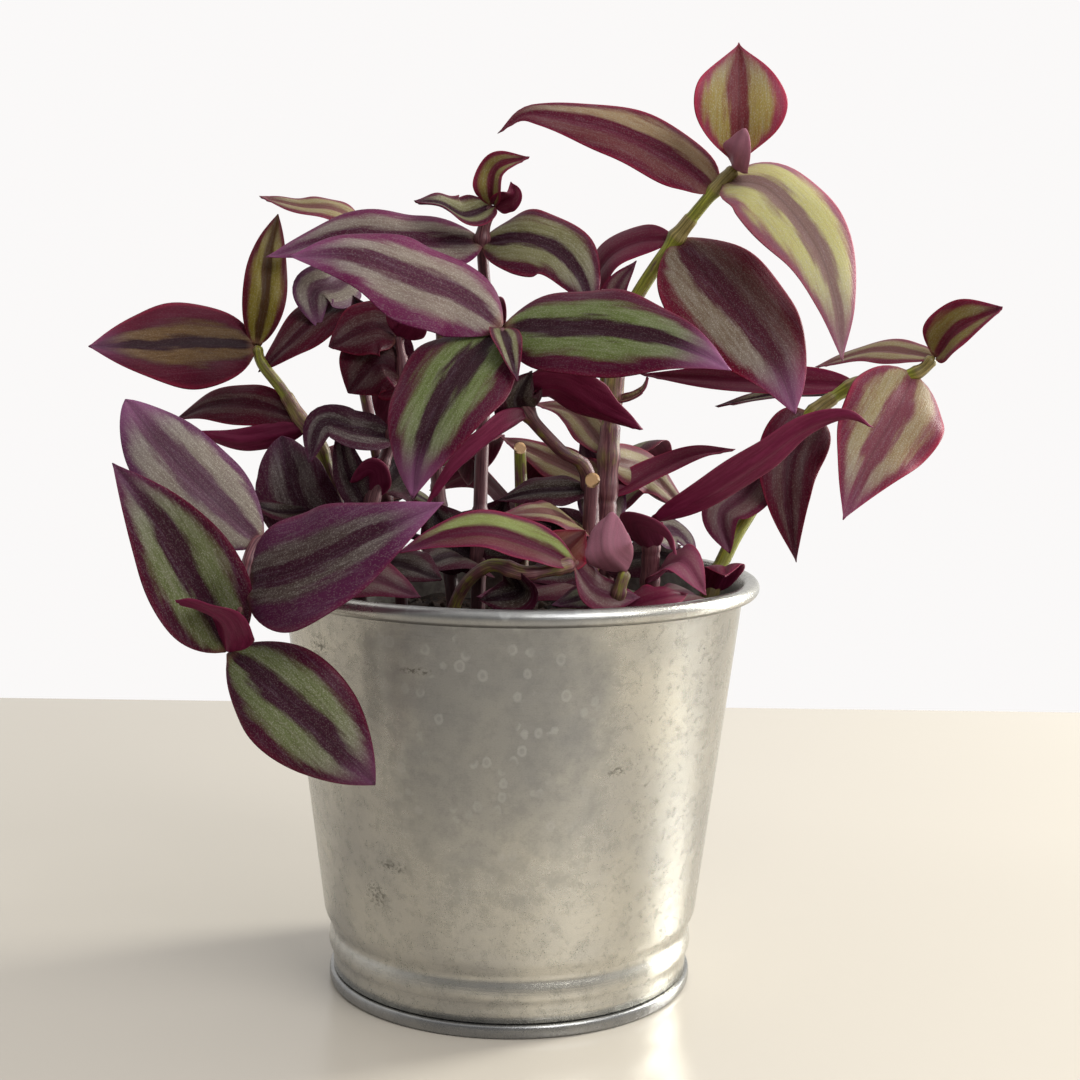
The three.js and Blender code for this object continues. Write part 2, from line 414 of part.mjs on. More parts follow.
// A tube along the stem, thinner towards its tip, with its radius raised by extra.
function stemTube(rows, extra) {
  const curve = new THREE.CatmullRomCurve3(stemPoints(rows), false, 'catmullrom');
  const radii = [rows[0][3], ...rows.map((row) => row[3])];
  const circle = [];
  for (let i = 0; i < STEM_SIDES; i++) {
    const angle = (2 * Math.PI * i) / STEM_SIDES;
    circle.push(new THREE.Vector2(Math.cos(angle), Math.sin(angle)));
  }
  const tube = new THREE.ExtrudeGeometry(new THREE.Shape(circle), {
    steps: STEM_STEPS,
    extrudePath: curve,
    bevelEnabled: false,
  });
  const centres = curve.getSpacedPoints(STEM_STEPS);
  const position = tube.attributes.position;
  const vertex = new THREE.Vector3();
  for (let i = 0; i < position.count; i++) {
    vertex.fromBufferAttribute(position, i);
    let nearest = 0;
    for (let k = 1; k < centres.length; k++) {
      if (vertex.distanceTo(centres[k]) < vertex.distanceTo(centres[nearest])) nearest = k;
    }
    const t = (nearest / STEM_STEPS) * (radii.length - 1);
    const low = Math.min(Math.floor(t), radii.length - 2);
    const radius = THREE.MathUtils.lerp(radii[low], radii[low + 1], t - low) + extra;
    vertex.sub(centres[nearest]).multiplyScalar(radius).add(centres[nearest]);
    position.setXYZ(i, vertex.x, vertex.y, vertex.z);
  }
  return tube;
}

// The point on a stem's centre line that a leaf grows from.
function nodePoint(stemName, place) {
  const rows = STEMS.find(([name]) => name === stemName)[1];
  const low = Math.min(Math.floor(place), rows.length - 2);
  const a = new THREE.Vector3(...rows[low].slice(0, 3));
  const b = new THREE.Vector3(...rows[low + 1].slice(0, 3));
  return a.lerp(b, place - low);
}

// ---------------------------------------------------------------- leaves
// Share of the full width at a share of the length: 0 at both ends, 1 at the widest.
function outline(s, base, point) {
  const widest = base / (base + point);
  const peak = widest ** base * (1 - widest) ** point;
  return (s ** base * (1 - s) ** point) / peak;
}

// Upper-side directions along the midrib, carried from the spot where the leaf faces its hint.
function upperSides(tangents, face) {
  const normals = [];
  const start = Math.round(FACE_SPOT * (tangents.length - 1));
  const square = (v, t) => v.clone().addScaledVector(t, -v.dot(t)).normalize();
  normals[start] = square(new THREE.Vector3(...face), tangents[start]);
  for (let i = start + 1; i < tangents.length; i++) normals[i] = square(normals[i - 1], tangents[i]);
  for (let i = start - 1; i >= 0; i--) normals[i] = square(normals[i + 1], tangents[i]);
  return normals;
}

// A leaf blade as a closed slab, grown by extra on every side.
function leafBlade(row, rows, columns, extra) {
  const [, stemName, place, via, face, width, shape] = row;
  const points = [nodePoint(stemName, place), ...via.map((p) => new THREE.Vector3(...p))];
  const curve = new THREE.CatmullRomCurve3(points, false, 'catmullrom');
  const middles = curve.getSpacedPoints(rows);
  const tangents = middles.map((_, i) => {
    const before = middles[Math.max(i - 1, 0)];
    const after = middles[Math.min(i + 1, rows)];
    return after.clone().sub(before).normalize();
  });
  middles[0].addScaledVector(tangents[0], -extra);
  middles[rows].addScaledVector(tangents[rows], extra);
  const normals = upperSides(tangents, face);
  const fold = THREE.MathUtils.degToRad(shape.fold ?? USUAL_FOLD);
  const positions = [];
  for (const side of [1, -1]) {
    for (let i = 0; i <= rows; i++) {
      const across = tangents[i].clone().cross(normals[i]);
      const share = outline(i / rows, shape.base ?? USUAL_BASE, shape.point ?? USUAL_POINT);
      const least = i < rows / 2 ? LEAF_BASE_WIDTH : LEAF_TIP_WIDTH;
      const half = Math.max(width * share, least) / 2 + extra;
      for (let j = 0; j <= columns; j++) {
        const t = (2 * j) / columns - 1;
        const lift = half * Math.abs(t) * Math.sin(fold) + side * (LEAF_THICKNESS / 2 + extra);
        const p = middles[i].clone().addScaledVector(across, half * t * Math.cos(fold));
        p.addScaledVector(normals[i], lift);
        positions.push(p.x, p.y, p.z);
      }
    }
  }
  const geometry = new THREE.BufferGeometry();
  geometry.setAttribute('position', new THREE.Float32BufferAttribute(positions, 3));
  geometry.setIndex(slabFaces(rows, columns));
  return geometry;
}

// Triangles of a closed slab whose two sides are grids of the same size.
function slabFaces(rows, columns) {
  const faces = [];
  const line = columns + 1;
  const under = (rows + 1) * line;
  const quad = (a, b, c, d) => faces.push(a, b, c, a, c, d);
  for (let i = 0; i < rows; i++) {
    for (let j = 0; j < columns; j++) {
      const a = i * line + j;
      quad(a, a + 1, a + line + 1, a + line);
      quad(under + a, under + a + line, under + a + line + 1, under + a + 1);
    }
    const left = i * line;
    const right = left + columns;
    quad(left, left + line, under + left + line, under + left);
    quad(right, under + right, under + right + line, right + line);
  }
  for (let j = 0; j < columns; j++) {
    const last = rows * line + j;
    quad(j, under + j, under + j + 1, j + 1);
    quad(last, last + 1, under + last + 1, under + last);
  }
  return faces;
}

// ---------------------------------------------------------------- putting it together
const wall = toSolid(potWall());
addMesh('pot_wall', toGeometry(wall), 'steel');
addMesh('pot_base', toGeometry(toSolid(potBase())), 'steel');

const stems = [];
const stemSpaces = [];
for (const [name, rows] of STEMS) {
  const tube = clearOf(toSolid(stemTube(rows, 0)), stemSpaces);
  stems.push({ name, solid: largestPiece(tube) });
  stemSpaces.push(toSolid(stemTube(rows, GAP)));
}

addMesh('soil', toGeometry(largestPiece(clearOf(toSolid(soilBody()), stemSpaces))), 'soil');

// A leaf's own solid and the space that it keeps its neighbours out of.
const leafSpaces = [];
const leaves = [];
for (const row of LEAVES) {
  const blade = toSolid(leafBlade(row, LEAF_ROWS, LEAF_COLUMNS, 0));
  leaves.push({ name: row[0], solid: largestPiece(clearOf(blade, [...stemSpaces, ...leafSpaces])) });
  leafSpaces.push(toSolid(leafBlade(row, LEAF_ROWS, LEAF_COLUMNS, GAP)));
}

// The small leaves join their stem, clear of the other stems and of the leaves made so far.
for (const stem of stems) {
  const index = stems.indexOf(stem);
  const others = stemSpaces.filter((_, i) => i !== index);
  for (const row of SMALL_LEAVES.filter(([, stemName]) => stemName === stem.name)) {
    const blade = toSolid(leafBlade(row, SMALL_ROWS, SMALL_COLUMNS, 0));
    stem.solid = stem.solid.add(clearOf(blade, [...others, ...leafSpaces]));
    leafSpaces.push(toSolid(leafBlade(row, SMALL_ROWS, SMALL_COLUMNS, GAP)));
  }
  addMesh(`stem_${stem.name}`, toGeometry(largestPiece(stem.solid)), 'stem');
}
for (const leaf of leaves) addMesh(`leaf_${leaf.name}`, toGeometry(leaf.solid), 'leaf');

export default plant;
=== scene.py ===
"""A potted tradescantia in a galvanised steel pot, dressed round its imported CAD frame."""
import math

import bmesh
import bpy
import numpy as np
from mathutils import Matrix, Vector


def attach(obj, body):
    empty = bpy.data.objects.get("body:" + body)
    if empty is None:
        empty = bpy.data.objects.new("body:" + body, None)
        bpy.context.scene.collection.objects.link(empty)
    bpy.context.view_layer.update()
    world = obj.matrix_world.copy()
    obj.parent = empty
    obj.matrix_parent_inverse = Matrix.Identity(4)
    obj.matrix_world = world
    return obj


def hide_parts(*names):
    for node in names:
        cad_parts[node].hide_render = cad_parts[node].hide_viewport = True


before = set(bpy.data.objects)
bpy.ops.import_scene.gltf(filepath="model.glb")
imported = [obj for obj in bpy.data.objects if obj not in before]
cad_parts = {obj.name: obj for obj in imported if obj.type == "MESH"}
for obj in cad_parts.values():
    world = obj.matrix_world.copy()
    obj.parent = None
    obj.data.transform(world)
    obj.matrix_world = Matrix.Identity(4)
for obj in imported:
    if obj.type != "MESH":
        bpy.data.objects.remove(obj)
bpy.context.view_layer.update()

MM = 0.001

# ---------------- camera
# It is fitted to the pot's rim, wall and foot.
LENS = 58.2
SENSOR_WIDTH = 36
CAMERA_AT = (6.3, -425.0, 160.0)
PITCH = math.radians(6.83)  # how far it looks down
ROLL = math.radians(0.78)

# ---------------- pot, as in the CAD
RIM_RADIUS = 60.0
RIM_BEAD = 2.0
POT_HEIGHT = 101.0
WALL_TOP_RADIUS = 56.0
WALL_FOOT_RADIUS = 46.2
WALL_FOOT_HEIGHT = 18.0
GROOVE_RADIUS = 44.2
GROOVE_HEIGHT = 14.0
RIDGE_RADIUS = 45.0
RIDGE_HEIGHT = 10.5
BAND_RADIUS = 44.0
WALL_THICKNESS = 0.8
BASE_RADIUS = 45.0
BASE_HEIGHT = 3.2
SOIL_HEIGHT = 86.0
SOIL_CROWN = 2.5
STEM_DEPTH = 14.0

# Each stem: the points of its centre line in millimetres, with the radius at each.
STEMS = {
    "tall": ((22, -4, 99, 2.2), (22.5, -2, 125.5, 2.2), (23.5, 0, 143.5, 2.2), (25.5, 2, 160.5, 1.9),
        (29.5, 3, 169.5, 1.7), (38, 1, 182.5, 1.6), (46.5, -3, 193.5, 1.4), (51.5, -4, 199, 1)),
    "centre": ((18.5, -10, 99.5, 1.7), (17.5, -11, 125.5, 1.6), (10.5, -15, 132.5, 1.5), (3, -20, 141, 1.5),
        (-1.5, -24, 150.5, 1.4), (-3, -27, 160.5, 1.2)),
    "crown": ((-9, 8, 96.5, 1.8), (-8.5, 12, 132.5, 1.7), (-7.5, 14, 160, 1.5), (-9, 14, 182, 1.4),
        (-6.5, 12, 190.5, 1)),
    "left": ((-40, 4, 98, 1.7), (-47.5, 5, 129, 1.6), (-53.5, 6, 138, 1.5), (-57.5, 6, 144.5, 1.4),
        (-62.5, 6, 151, 1.4), (-64, 6, 155.5, 1.1)),
    "upper_left": ((-29, 12, 97, 1.6), (-37, 16, 137, 1.4), (-42, 20, 159.5, 1.3), (-42.5, 22, 173.5, 1.2),
        (-40.5, 21, 187.5, 1)),
    "hanging": ((-41.5, -22, 99.5, 1.8), (-48.5, -30, 108.5, 1.7), (-56, -38, 112, 1.6),
        (-59, -43, 103.5, 1.5), (-62.5, -42, 88.5, 1.3)),
    "right": ((46.5, -8, 93.5, 1.8), (52, -6, 108.5, 1.8), (59, -2, 120, 1.7), (66, 0, 134.5, 1.6),
        (72, 0, 141, 1.6), (82.5, 0, 148, 1.5), (96, -2, 151, 1.3), (100.5, -3, 155, 1)),
    "front": ((-13, -40, 97, 1.4), (-5.5, -46, 108.5, 1.4), (4, -48, 107.5, 1.4), (14, -46, 109.5, 1.3)),
    "stub": ((23, -36, 95.5, 1.5), (24, -40, 102.5, 1.5), (25.5, -40, 107.5, 1.3)),
    "short": ((32, -22, 95.5, 1.9), (32, -24, 110, 1.8), (32.5, -24, 117, 1.4)),
    "inner": ((-37, -6, 99.5, 1.7), (-34.5, -4, 119, 1.6), (-30, 0, 134, 1.5), (-27.5, 2, 147.5, 1.3),
        (-29, 4, 158.5, 1)),
    "cut_front": ((18.5, -16, 97, 1.8), (18, -16, 114.5, 1.75), (18.5, -16, 127, 1.7)),
    "cut_back": ((2, 7, 98, 1.6), (1.5, 7, 118, 1.55), (1, 7, 132.5, 1.5)),
    "back_right": ((18, 24, 92, 1.8), (22, 30, 112, 1.7), (24, 34, 134, 1.5), (22, 34, 152, 1.1)),
    "back_left": ((-16, 20, 92, 1.8), (-20, 28, 114, 1.7), (-22, 32, 140, 1.5), (-20, 32, 160, 1.1)),
    "back": ((0, 32, 92, 1.8), (1, 44, 107, 1.7), (2, 56, 111, 1.5), (2, 67, 105, 1.2)),
}

# Each leaf, named after its stem: its place on the stem (counted in stem points), the points that its
# midrib passes after the stem (the last one is its tip), the way that its upper side faces, its width
# and its look. Where they aren't USUAL, the rise of each half in degrees and how slowly the blade
# widens and narrows follow.
USUAL = (10, (0.6, 1.05))
LEAVES = {
    "tall_tip": (7, ((51.5, -8, 211.5), (51.5, -3, 228)), (0.05, -1, 0.1), 23.5, "tip", 20, (1.4, 1.4)),
    "tall_left": (6, ((41, -1, 199), (31.5, 2, 204.5), (19.5, 6, 209.5), (6, 10, 212.5), (0, 12, 212.5),
        (-5.5, 13, 208)), (-0.1, -0.85, 0.55), 16.5, "rose", 14, (0.5, 1.1)),
    "tall_right": (6.5, ((58.5, -10, 194), (68.5, -18, 181), (73, -24, 167.5), (74.5, -26, 154)),
        (0.3, -0.95, 0.3), 23.5, "pale", 10, (0.42, 1.1)),
    "tall_arch": (5, ((29.5, 6, 182), (22, 10, 178), (16.5, 14, 168.5), (13.5, 16, 159)),
        (-0.3, -0.65, 0.7), 13.5, "plain", 16, (0.8, 1)),
    "tall_big": (5, ((47, -9, 171.5), (55, -17, 161), (61, -23, 151), (64, -27, 142)),
        (0.15, -0.97, 0.3), 28.5, "wine", 8, (0.62, 1)),
    "centre_fold": (3.6, ((10.5, -20, 147.5), (20, -13, 142), (30.5, -9, 137)), (0.2, 0.8, 0.55), 14,
        "plain", 20),
    "centre_right": (5, ((9, -32, 161), (21, -37, 160.5), (33, -41, 158.5), (41.5, -43, 155.5),
        (47.5, -43, 152)), (0.1, -0.85, 0.5), 24, "green", 6),
    "centre_front": (5, ((-12, -38, 150.5), (-17.5, -45, 141), (-20.5, -48, 132), (-21.5, -48, 123.5)),
        (-0.25, -0.9, 0.35), 26, "green", 16, (0.66, 1)),
    "centre_left": (5, ((-12, -28, 167.5), (-22.5, -32, 171.5), (-36.5, -36, 176), (-49.5, -38, 175.5)),
        (0, -0.8, 0.6), 24.5, "silver", 6),
    "crown_left": (3, ((-24, 6, 181.5), (-43, 4, 182.5), (-61.5, 6, 177)), (0, -0.75, 0.65), 19.5,
        "silver", 12),
    "crown_right": (3, ((1, 8, 182.5), (10, 6, 179.5), (15.5, 2, 172.5), (18, 0, 164)),
        (0.1, -0.85, 0.5), 20, "olive"),
    "left_big": (5, ((-76.5, 0, 156), (-87, -8, 155.5), (-99, -18, 155)), (0, -0.95, 0.3), 22.5,
        "amber", 8),
    "left_upright": (5, ((-62, 6, 166.5), (-61.5, 10, 177), (-60, 16, 188)), (0.2, -0.95, -0.1), 11,
        "moss", 10, (0.6, 0.9)),
    "left_inner": (2.7, ((-48, 12, 164), (-56, 8, 156.5), (-63.5, 6, 149)), (-0.3, -0.9, 0.35), 14,
        "deep", 12, (0.5, 0.95)),
    "left_low": (2, ((-64.5, 6, 141), (-76.5, 12, 140.5), (-86.5, 18, 136.5)), (0, -0.9, 0.4), 11.5,
        "deep", 12),
    "left_upright_low": (0.3, ((-52, -2, 117), (-54.5, -4, 126), (-56.5, -3, 134)), (0.1, -0.95, 0.2), 20,
        "slate", 14, (0.7, 0.7)),
    "hanging_back": (2, ((-66.5, -41, 123), (-77, -37, 132.5), (-87.5, -31, 143.5)),
        (0.3, -0.85, 0.45), 21.5, "frost", 8, (0.6, 0.75)),
    "hanging_left": (4, ((-66, -46, 98), (-70.5, -50, 109), (-76, -54, 119.5), (-84.5, -56, 131)),
        (0.2, -0.95, 0.2), 23, "fern", 20),
    "hanging_front": (3, ((-45, -53, 109), (-29.5, -60, 117), (-14, -60, 124)), (0.1, -0.85, 0.5), 27,
        "lilac", 10, (0.46, 1.05)),
    "hanging_low": (4, ((-50.5, -50, 81), (-38.5, -52, 70), (-29.5, -47, 59.5)), (0.1, -0.98, 0.15), 24,
        "fern", 6, (0.72, 0.9)),
    "front_low": (3, ((5, -49, 114), (-5.5, -52, 117), (-15, -54, 116), (-24, -55, 112.5)),
        (0, -0.8, 0.6), 11, "lime", 20),
    "centre_pale": (0.5, ((8.5, -24, 118.5), (-2.5, -28, 118.5)), (0, -0.6, 0.8), 15, "sand", 14),
    "short_rim": (0.5, ((38, -34, 109), (43.5, -40, 102)), (0.2, -0.7, 0.6), 11, "mauve", 20),
    "short_long": (2, ((40.5, -27, 122), (47.5, -30, 126.5), (56.5, -33, 133), (65, -34, 139.5),
        (74, -35, 142.5), (80.5, -35, 139.5)), (-0.1, 0.8, 0.6), 10, "plain", 14),
    "right_drop": (4, ((66, -8, 131.5), (65, -12, 121), (67.5, -12, 106)), (0.1, -0.9, 0.3), 17, "deep", 18,
        (0.4, 1.1)),
    "right_fold": (3, ((56, -7, 122.5), (49.5, -11, 117), (51.5, -13, 108)), (-0.3, -0.9, 0.4), 15,
        "dusk", 20, (0.6, 0.9)),
    "tall_pink": (0.9, ((8.5, 10, 128.5), (-4, 12, 133.5)), (0, -0.8, 0.6), 12, "sand", 14),
    "right_tip": (7, ((104.5, -8, 162), (113.5, -14, 167)), (-0.1, -0.8, 0.6), 15, "curl", 30, (0.5, 1)),
    "right_level": (5, ((69.5, 4, 148.5), (50.5, 12, 148.5), (31, 20, 149.5)), (0, -0.8, 0.6), 9.8,
        "plain", 20),
    "right_big": (6, ((90.5, -12, 143), (82, -22, 131), (75.5, -28, 118)), (0.1, -0.95, 0.3), 25.5,
        "blush", 12, (0.55, 1.15)),
    "inner_arch": (2, ((-38.5, -6, 135.5), (-46, -8, 137), (-49, -10, 128)), (-0.3, -0.75, 0.6), 12,
        "slate", 20, (0.5, 0.9)),
    "inner_back": (3, ((-35, 8, 157), (-40.5, 8, 168)), (0, -0.95, 0.2), 16, "night", 20),
    "back_right_out": (3, ((34, 40, 158), (48, 44, 150)), (0.2, 0.5, 0.85), 19, "olive"),
    "back_right_rear": (3, ((14, 44, 158), (6, 55, 147)), (0, 0.6, 0.8), 18, "olive"),
    "back_right_mid": (1.6, ((32, 46, 129), (39, 58, 115)), (0.2, 0.7, 0.6), 20, "olive"),
    "back_right_low": (1.3, ((12, 44, 126), (2, 58, 116)), (0, 0.6, 0.8), 19, "olive"),
    "back_left_out": (3, ((-30, 38, 166), (-42, 42, 158)), (-0.2, 0.5, 0.85), 18, "olive"),
    "back_left_rear": (3, ((-12, 44, 166), (-5, 55, 157)), (0, 0.6, 0.8), 18, "olive"),
    "back_left_mid": (2, ((-30, 46, 145), (-37, 58, 130)), (-0.2, 0.7, 0.6), 20, "olive"),
    "back_left_low": (1.4, ((-12, 46, 130), (-14, 60, 117)), (0, 0.6, 0.8), 19, "olive"),
    "back_end": (3, ((6, 78, 98), (10, 84, 80)), (0.1, 0.95, 0.2), 19, "olive"),
    "centre_strap": (3, ((-3, -28, 137.5), (-13, -34, 129.5), (-19.5, -36, 121)), (-0.5, 0.6, 0.6), 9,
        "plain", 30),
    "centre_bud": (5, ((-1.5, -37, 157), (1, -42, 149)), (0.2, -0.95, 0.1), 8, "olive", 24, (0.6, 1.1)),
    "centre_sheath": (3, ((1, -26, 144.5), (4, -26, 151)), (0.1, -0.95, 0.1), 13, "night", 14, (0.6, 1.1)),
    "crown_tip": (4, ((-7, 10, 194), (-6.5, 10, 198), (-4, 9, 200.5), (2.5, 8, 202)),
        (-0.5, -0.85, 0.1), 9.5, "curl", 30, (0.6, 1.2)),
    "crown_wing": (4, ((-13, 8, 188), (-19, 6, 190.5), (-25.5, 6, 191)), (0, -0.55, 0.85), 15, "olive", 20),
    "crown_bud": (4, ((-1.5, 8, 192.5), (-2, 8, 196)), (0.6, -0.8, 0), 7, "plain", 24),
    "left_under": (1.7, ((-62.5, 4, 133), (-69.5, 3, 132.5), (-79, 2, 134.5)), (0, 0.9, 0.2), 7,
        "plain", 20),
    "left_dark": (0.6, ((-56.5, -6, 116), (-64.5, -8, 119)), (0, -0.8, 0.5), 10, "night", 20),
    "upper_left_drop": (3, ((-46, 14, 171), (-50.5, 10, 168.5), (-49, 9, 159.5)), (0, -0.95, 0.3), 15,
        "frost", 16, (0.5, 1.05)),
    "upper_left_tip": (4, ((-47.5, 19, 190), (-55, 18, 190.5), (-65, 18, 192.5)), (0, -0.6, 0.8), 10,
        "sand", 14, (0.4, 1)),
    "hanging_bud": (4, ((-62, -50, 96), (-66.5, -54, 100), (-72, -54, 101.5)), (0.3, 0.9, -0.3), 13.5,
        "plum", 24, (0.7, 1.05)),
    "front_rim_left": (1.5, ((2, -46, 103), (-7, -45, 101)), (0, -0.7, 0.7), 11, "night", 14),
    "front_rim_right": (3, ((19.5, -42, 103), (29, -38, 101)), (0, -0.7, 0.7), 11, "dusk", 14),
    "centre_dark": (0.9, ((5, -14, 122.5), (-4, -14, 120)), (0, -0.6, 0.8), 11, "night", 14),
    "stub_shield": (2, ((21.5, -44, 111.5), (21, -42, 115.5), (22.5, -38, 120)), (0.2, 0.9, 0.1), 12,
        "shield", 20, (0.6, 0.8)),
    "short_ring": (1, ((29, -32, 117), (35, -36, 115), (37, -37, 110.5)), (0, -0.4, 0.9), 11, "mauve", 24),
    "short_silver": (1.5, ((38.5, -16, 113.5), (43.5, -18, 108)), (0, -0.9, 0.4), 10, "frost", 14),
    "tall_back_right": (0.8, ((35.5, 4, 127), (44.5, 6, 130.5), (54.5, 8, 131.5)), (0, -0.6, 0.8), 8,
        "plain", 20),
    "tall_striped": (1.2, ((33.5, 8, 125), (43.5, 8, 115)), (-0.2, -0.8, 0.5), 13, "sand", 14),
    "tall_narrow": (0.5, ((21, 6, 121), (18.5, 8, 129.5), (16, 8, 135.5)), (0, -1, 0.1), 12.5, "frost", 14),
    "tall_olive": (1.3, ((14, 12, 140), (4, 14, 142)), (0, -0.8, 0.6), 10, "sand", 14),
    "right_twist": (7, ((95.5, 2, 156), (87, 8, 156.5), (74.5, 14, 152)), (0, -0.6, 0.8), 11, "sand", 12),
    "right_under": (4.8, ((63.5, 14, 145), (50.5, 22, 141.5)), (0, -0.6, 0.8), 7, "olive", 20),
    "inner_upright": (0.8, ((-40, -6, 126), (-42.5, -6, 137)), (0.2, -0.95, 0.1), 10, "slate", 30),
    "inner_left": (4, ((-35, 2, 160.5), (-45.5, 0, 155.5)), (-0.1, -0.85, 0.5), 17, "deep", 14, (0.5, 0.9)),
    "inner_low": (3.2, ((-33.5, 0, 152), (-40.5, -3, 144.5)), (-0.2, -0.9, 0.3), 21, "deep", 12,
        (0.5, 0.9)),
    "inner_bud": (1, ((-35, -6, 125.5), (-39.5, -8, 123.5)), (0, 0.8, 0.5), 10, "plain", 20),
    "back_right_side": (1, ((34, 38, 120), (46, 47, 112)), (0.3, 0.3, 0.9), 17, "olive"),
    "back_left_side": (1, ((-34, 36, 119), (-47, 44, 112)), (-0.3, 0.3, 0.9), 18, "olive"),
    "back_end_left": (3, ((-8, 77, 104), (-22, 82, 96)), (-0.1, 0.8, 0.5), 17, "olive"),
    "back_over_right": (2, ((15, 62, 120), (27, 68, 113)), (0.2, 0.5, 0.8), 17, "olive"),
    "back_over_left": (1.6, ((-12, 58, 121), (-25, 64, 115)), (-0.2, 0.5, 0.8), 17, "olive"),
    "back_left_floor": (0.6, ((-30, 30, 107), (-45, 34, 104)), (-0.2, 0.3, 0.9), 16, "night"),
    "back_right_floor": (0.5, ((31, 32, 107), (44, 35, 104)), (0.2, 0.3, 0.9), 16, "night"),
    "crown_floor": (0.35, ((-14, 22, 111), (-9, 36, 106)), (0, 0.4, 0.9), 15, "night"),
    "left_floor": (0.4, ((-49, 14, 110), (-53, 26, 104)), (-0.3, 0.3, 0.9), 15, "night"),
    "upper_left_floor": (0.5, ((-35, 28, 118), (-37, 42, 110)), (-0.2, 0.4, 0.9), 16, "night"),
    "centre_floor": (0.15, ((8, -24, 102), (-8, -34, 100)), (0, -0.5, 0.85), 15, "dusk"),
    "crown_floor_front": (0.1, ((-14, -6, 106), (-24, -18, 104)), (0, -0.6, 0.8), 17, "night"),
    "crown_veil": (0.2, ((-16, 10, 108), (-22, 12, 117)), (0, -0.95, 0.2), 17, "night", 14),
    "crown_veil_right": (0.3, ((2, 6, 109), (9, 4, 112)), (0, -0.8, 0.5), 16, "night", 14),
    "left_floor_front": (0.1, ((-40, -10, 106), (-34, -24, 104)), (0, -0.6, 0.8), 15, "night"),
    "hanging_floor": (0.1, ((-32, -34, 104), (-20, -42, 101)), (0, -0.6, 0.8), 14, "dusk"),
    "inner_floor": (0.1, ((-28, -16, 105), (-16, -28, 103)), (0, -0.6, 0.8), 16, "night"),
    "upper_left_veil": (0.25, ((-34, 8, 110), (-41, 6, 117)), (0, -0.95, 0.2), 16, "night", 14),
    "back_left_veil": (0.4, ((-8, 20, 108), (-2, 18, 118)), (0, -0.95, 0.2), 18, "night", 14),
    "back_right_veil": (0.35, ((12, 22, 108), (4, 20, 114)), (0, -0.9, 0.3), 18, "night", 14),
    "tall_floor": (0.1, ((14, -16, 104), (2, -26, 103)), (0, -0.6, 0.8), 16, "night"),
    "tall_floor_right": (0.2, ((34, -10, 107), (44, -16, 104)), (0, -0.6, 0.8), 15, "night"),
    "short_floor": (0.2, ((22, -32, 101), (9, -41, 99.5)), (0, -0.5, 0.85), 14, "fern"),
    "stub_floor": (0.3, ((33, -39, 101.5), (40, -34, 101.5)), (0, -0.5, 0.85), 11, "plain", 14),
    "right_floor": (0.1, ((42, -20, 99.5), (30, -30, 100)), (0, -0.5, 0.85), 14, "dusk"),
    "right_rim": (0.3, ((50, -16, 105.5), (49, -26, 104.5)), (0.1, -0.6, 0.8), 11, "plain", 14),
    "front_red": (2.6, ((12, -42, 112.5), (16.5, -38, 116)), (0, -0.9, 0.4), 12, "rust", 14),
    "inner_magenta": (4, ((-26.5, 0, 162.5), (-31.5, 2, 166.5)), (0.2, 0.8, 0.5), 11, "plain", 14),
    "tall_curl": (2, ((27.5, -3, 144.5), (30.5, -4, 146.5), (31.5, -4, 149.5)), (-0.3, -0.8, 0.6), 2.8,
        "sand", 30),
    "tall_bud": (7, ((51, -12, 202), (52.5, -14, 207)), (0.4, 0.9, 0), 9, "shield", 14, (0.5, 0.7)),
    "left_behind": (1, ((-47, 14, 124.5), (-42, 20, 131.5)), (0, -0.9, 0.3), 15, "deep", 12),
    "inner_behind": (1.2, ((-30, 8, 125), (-28.5, 12, 132.5)), (0, -0.95, 0.2), 17, "night", 12),
    "tall_point": (3, ((23.5, 0, 169.5), (28.5, -2, 177)), (-0.2, -0.9, 0.3), 7, "dusk", 20),
}
STRAYS = {"left_inner": "upper_left"}  # named after another stem than their own

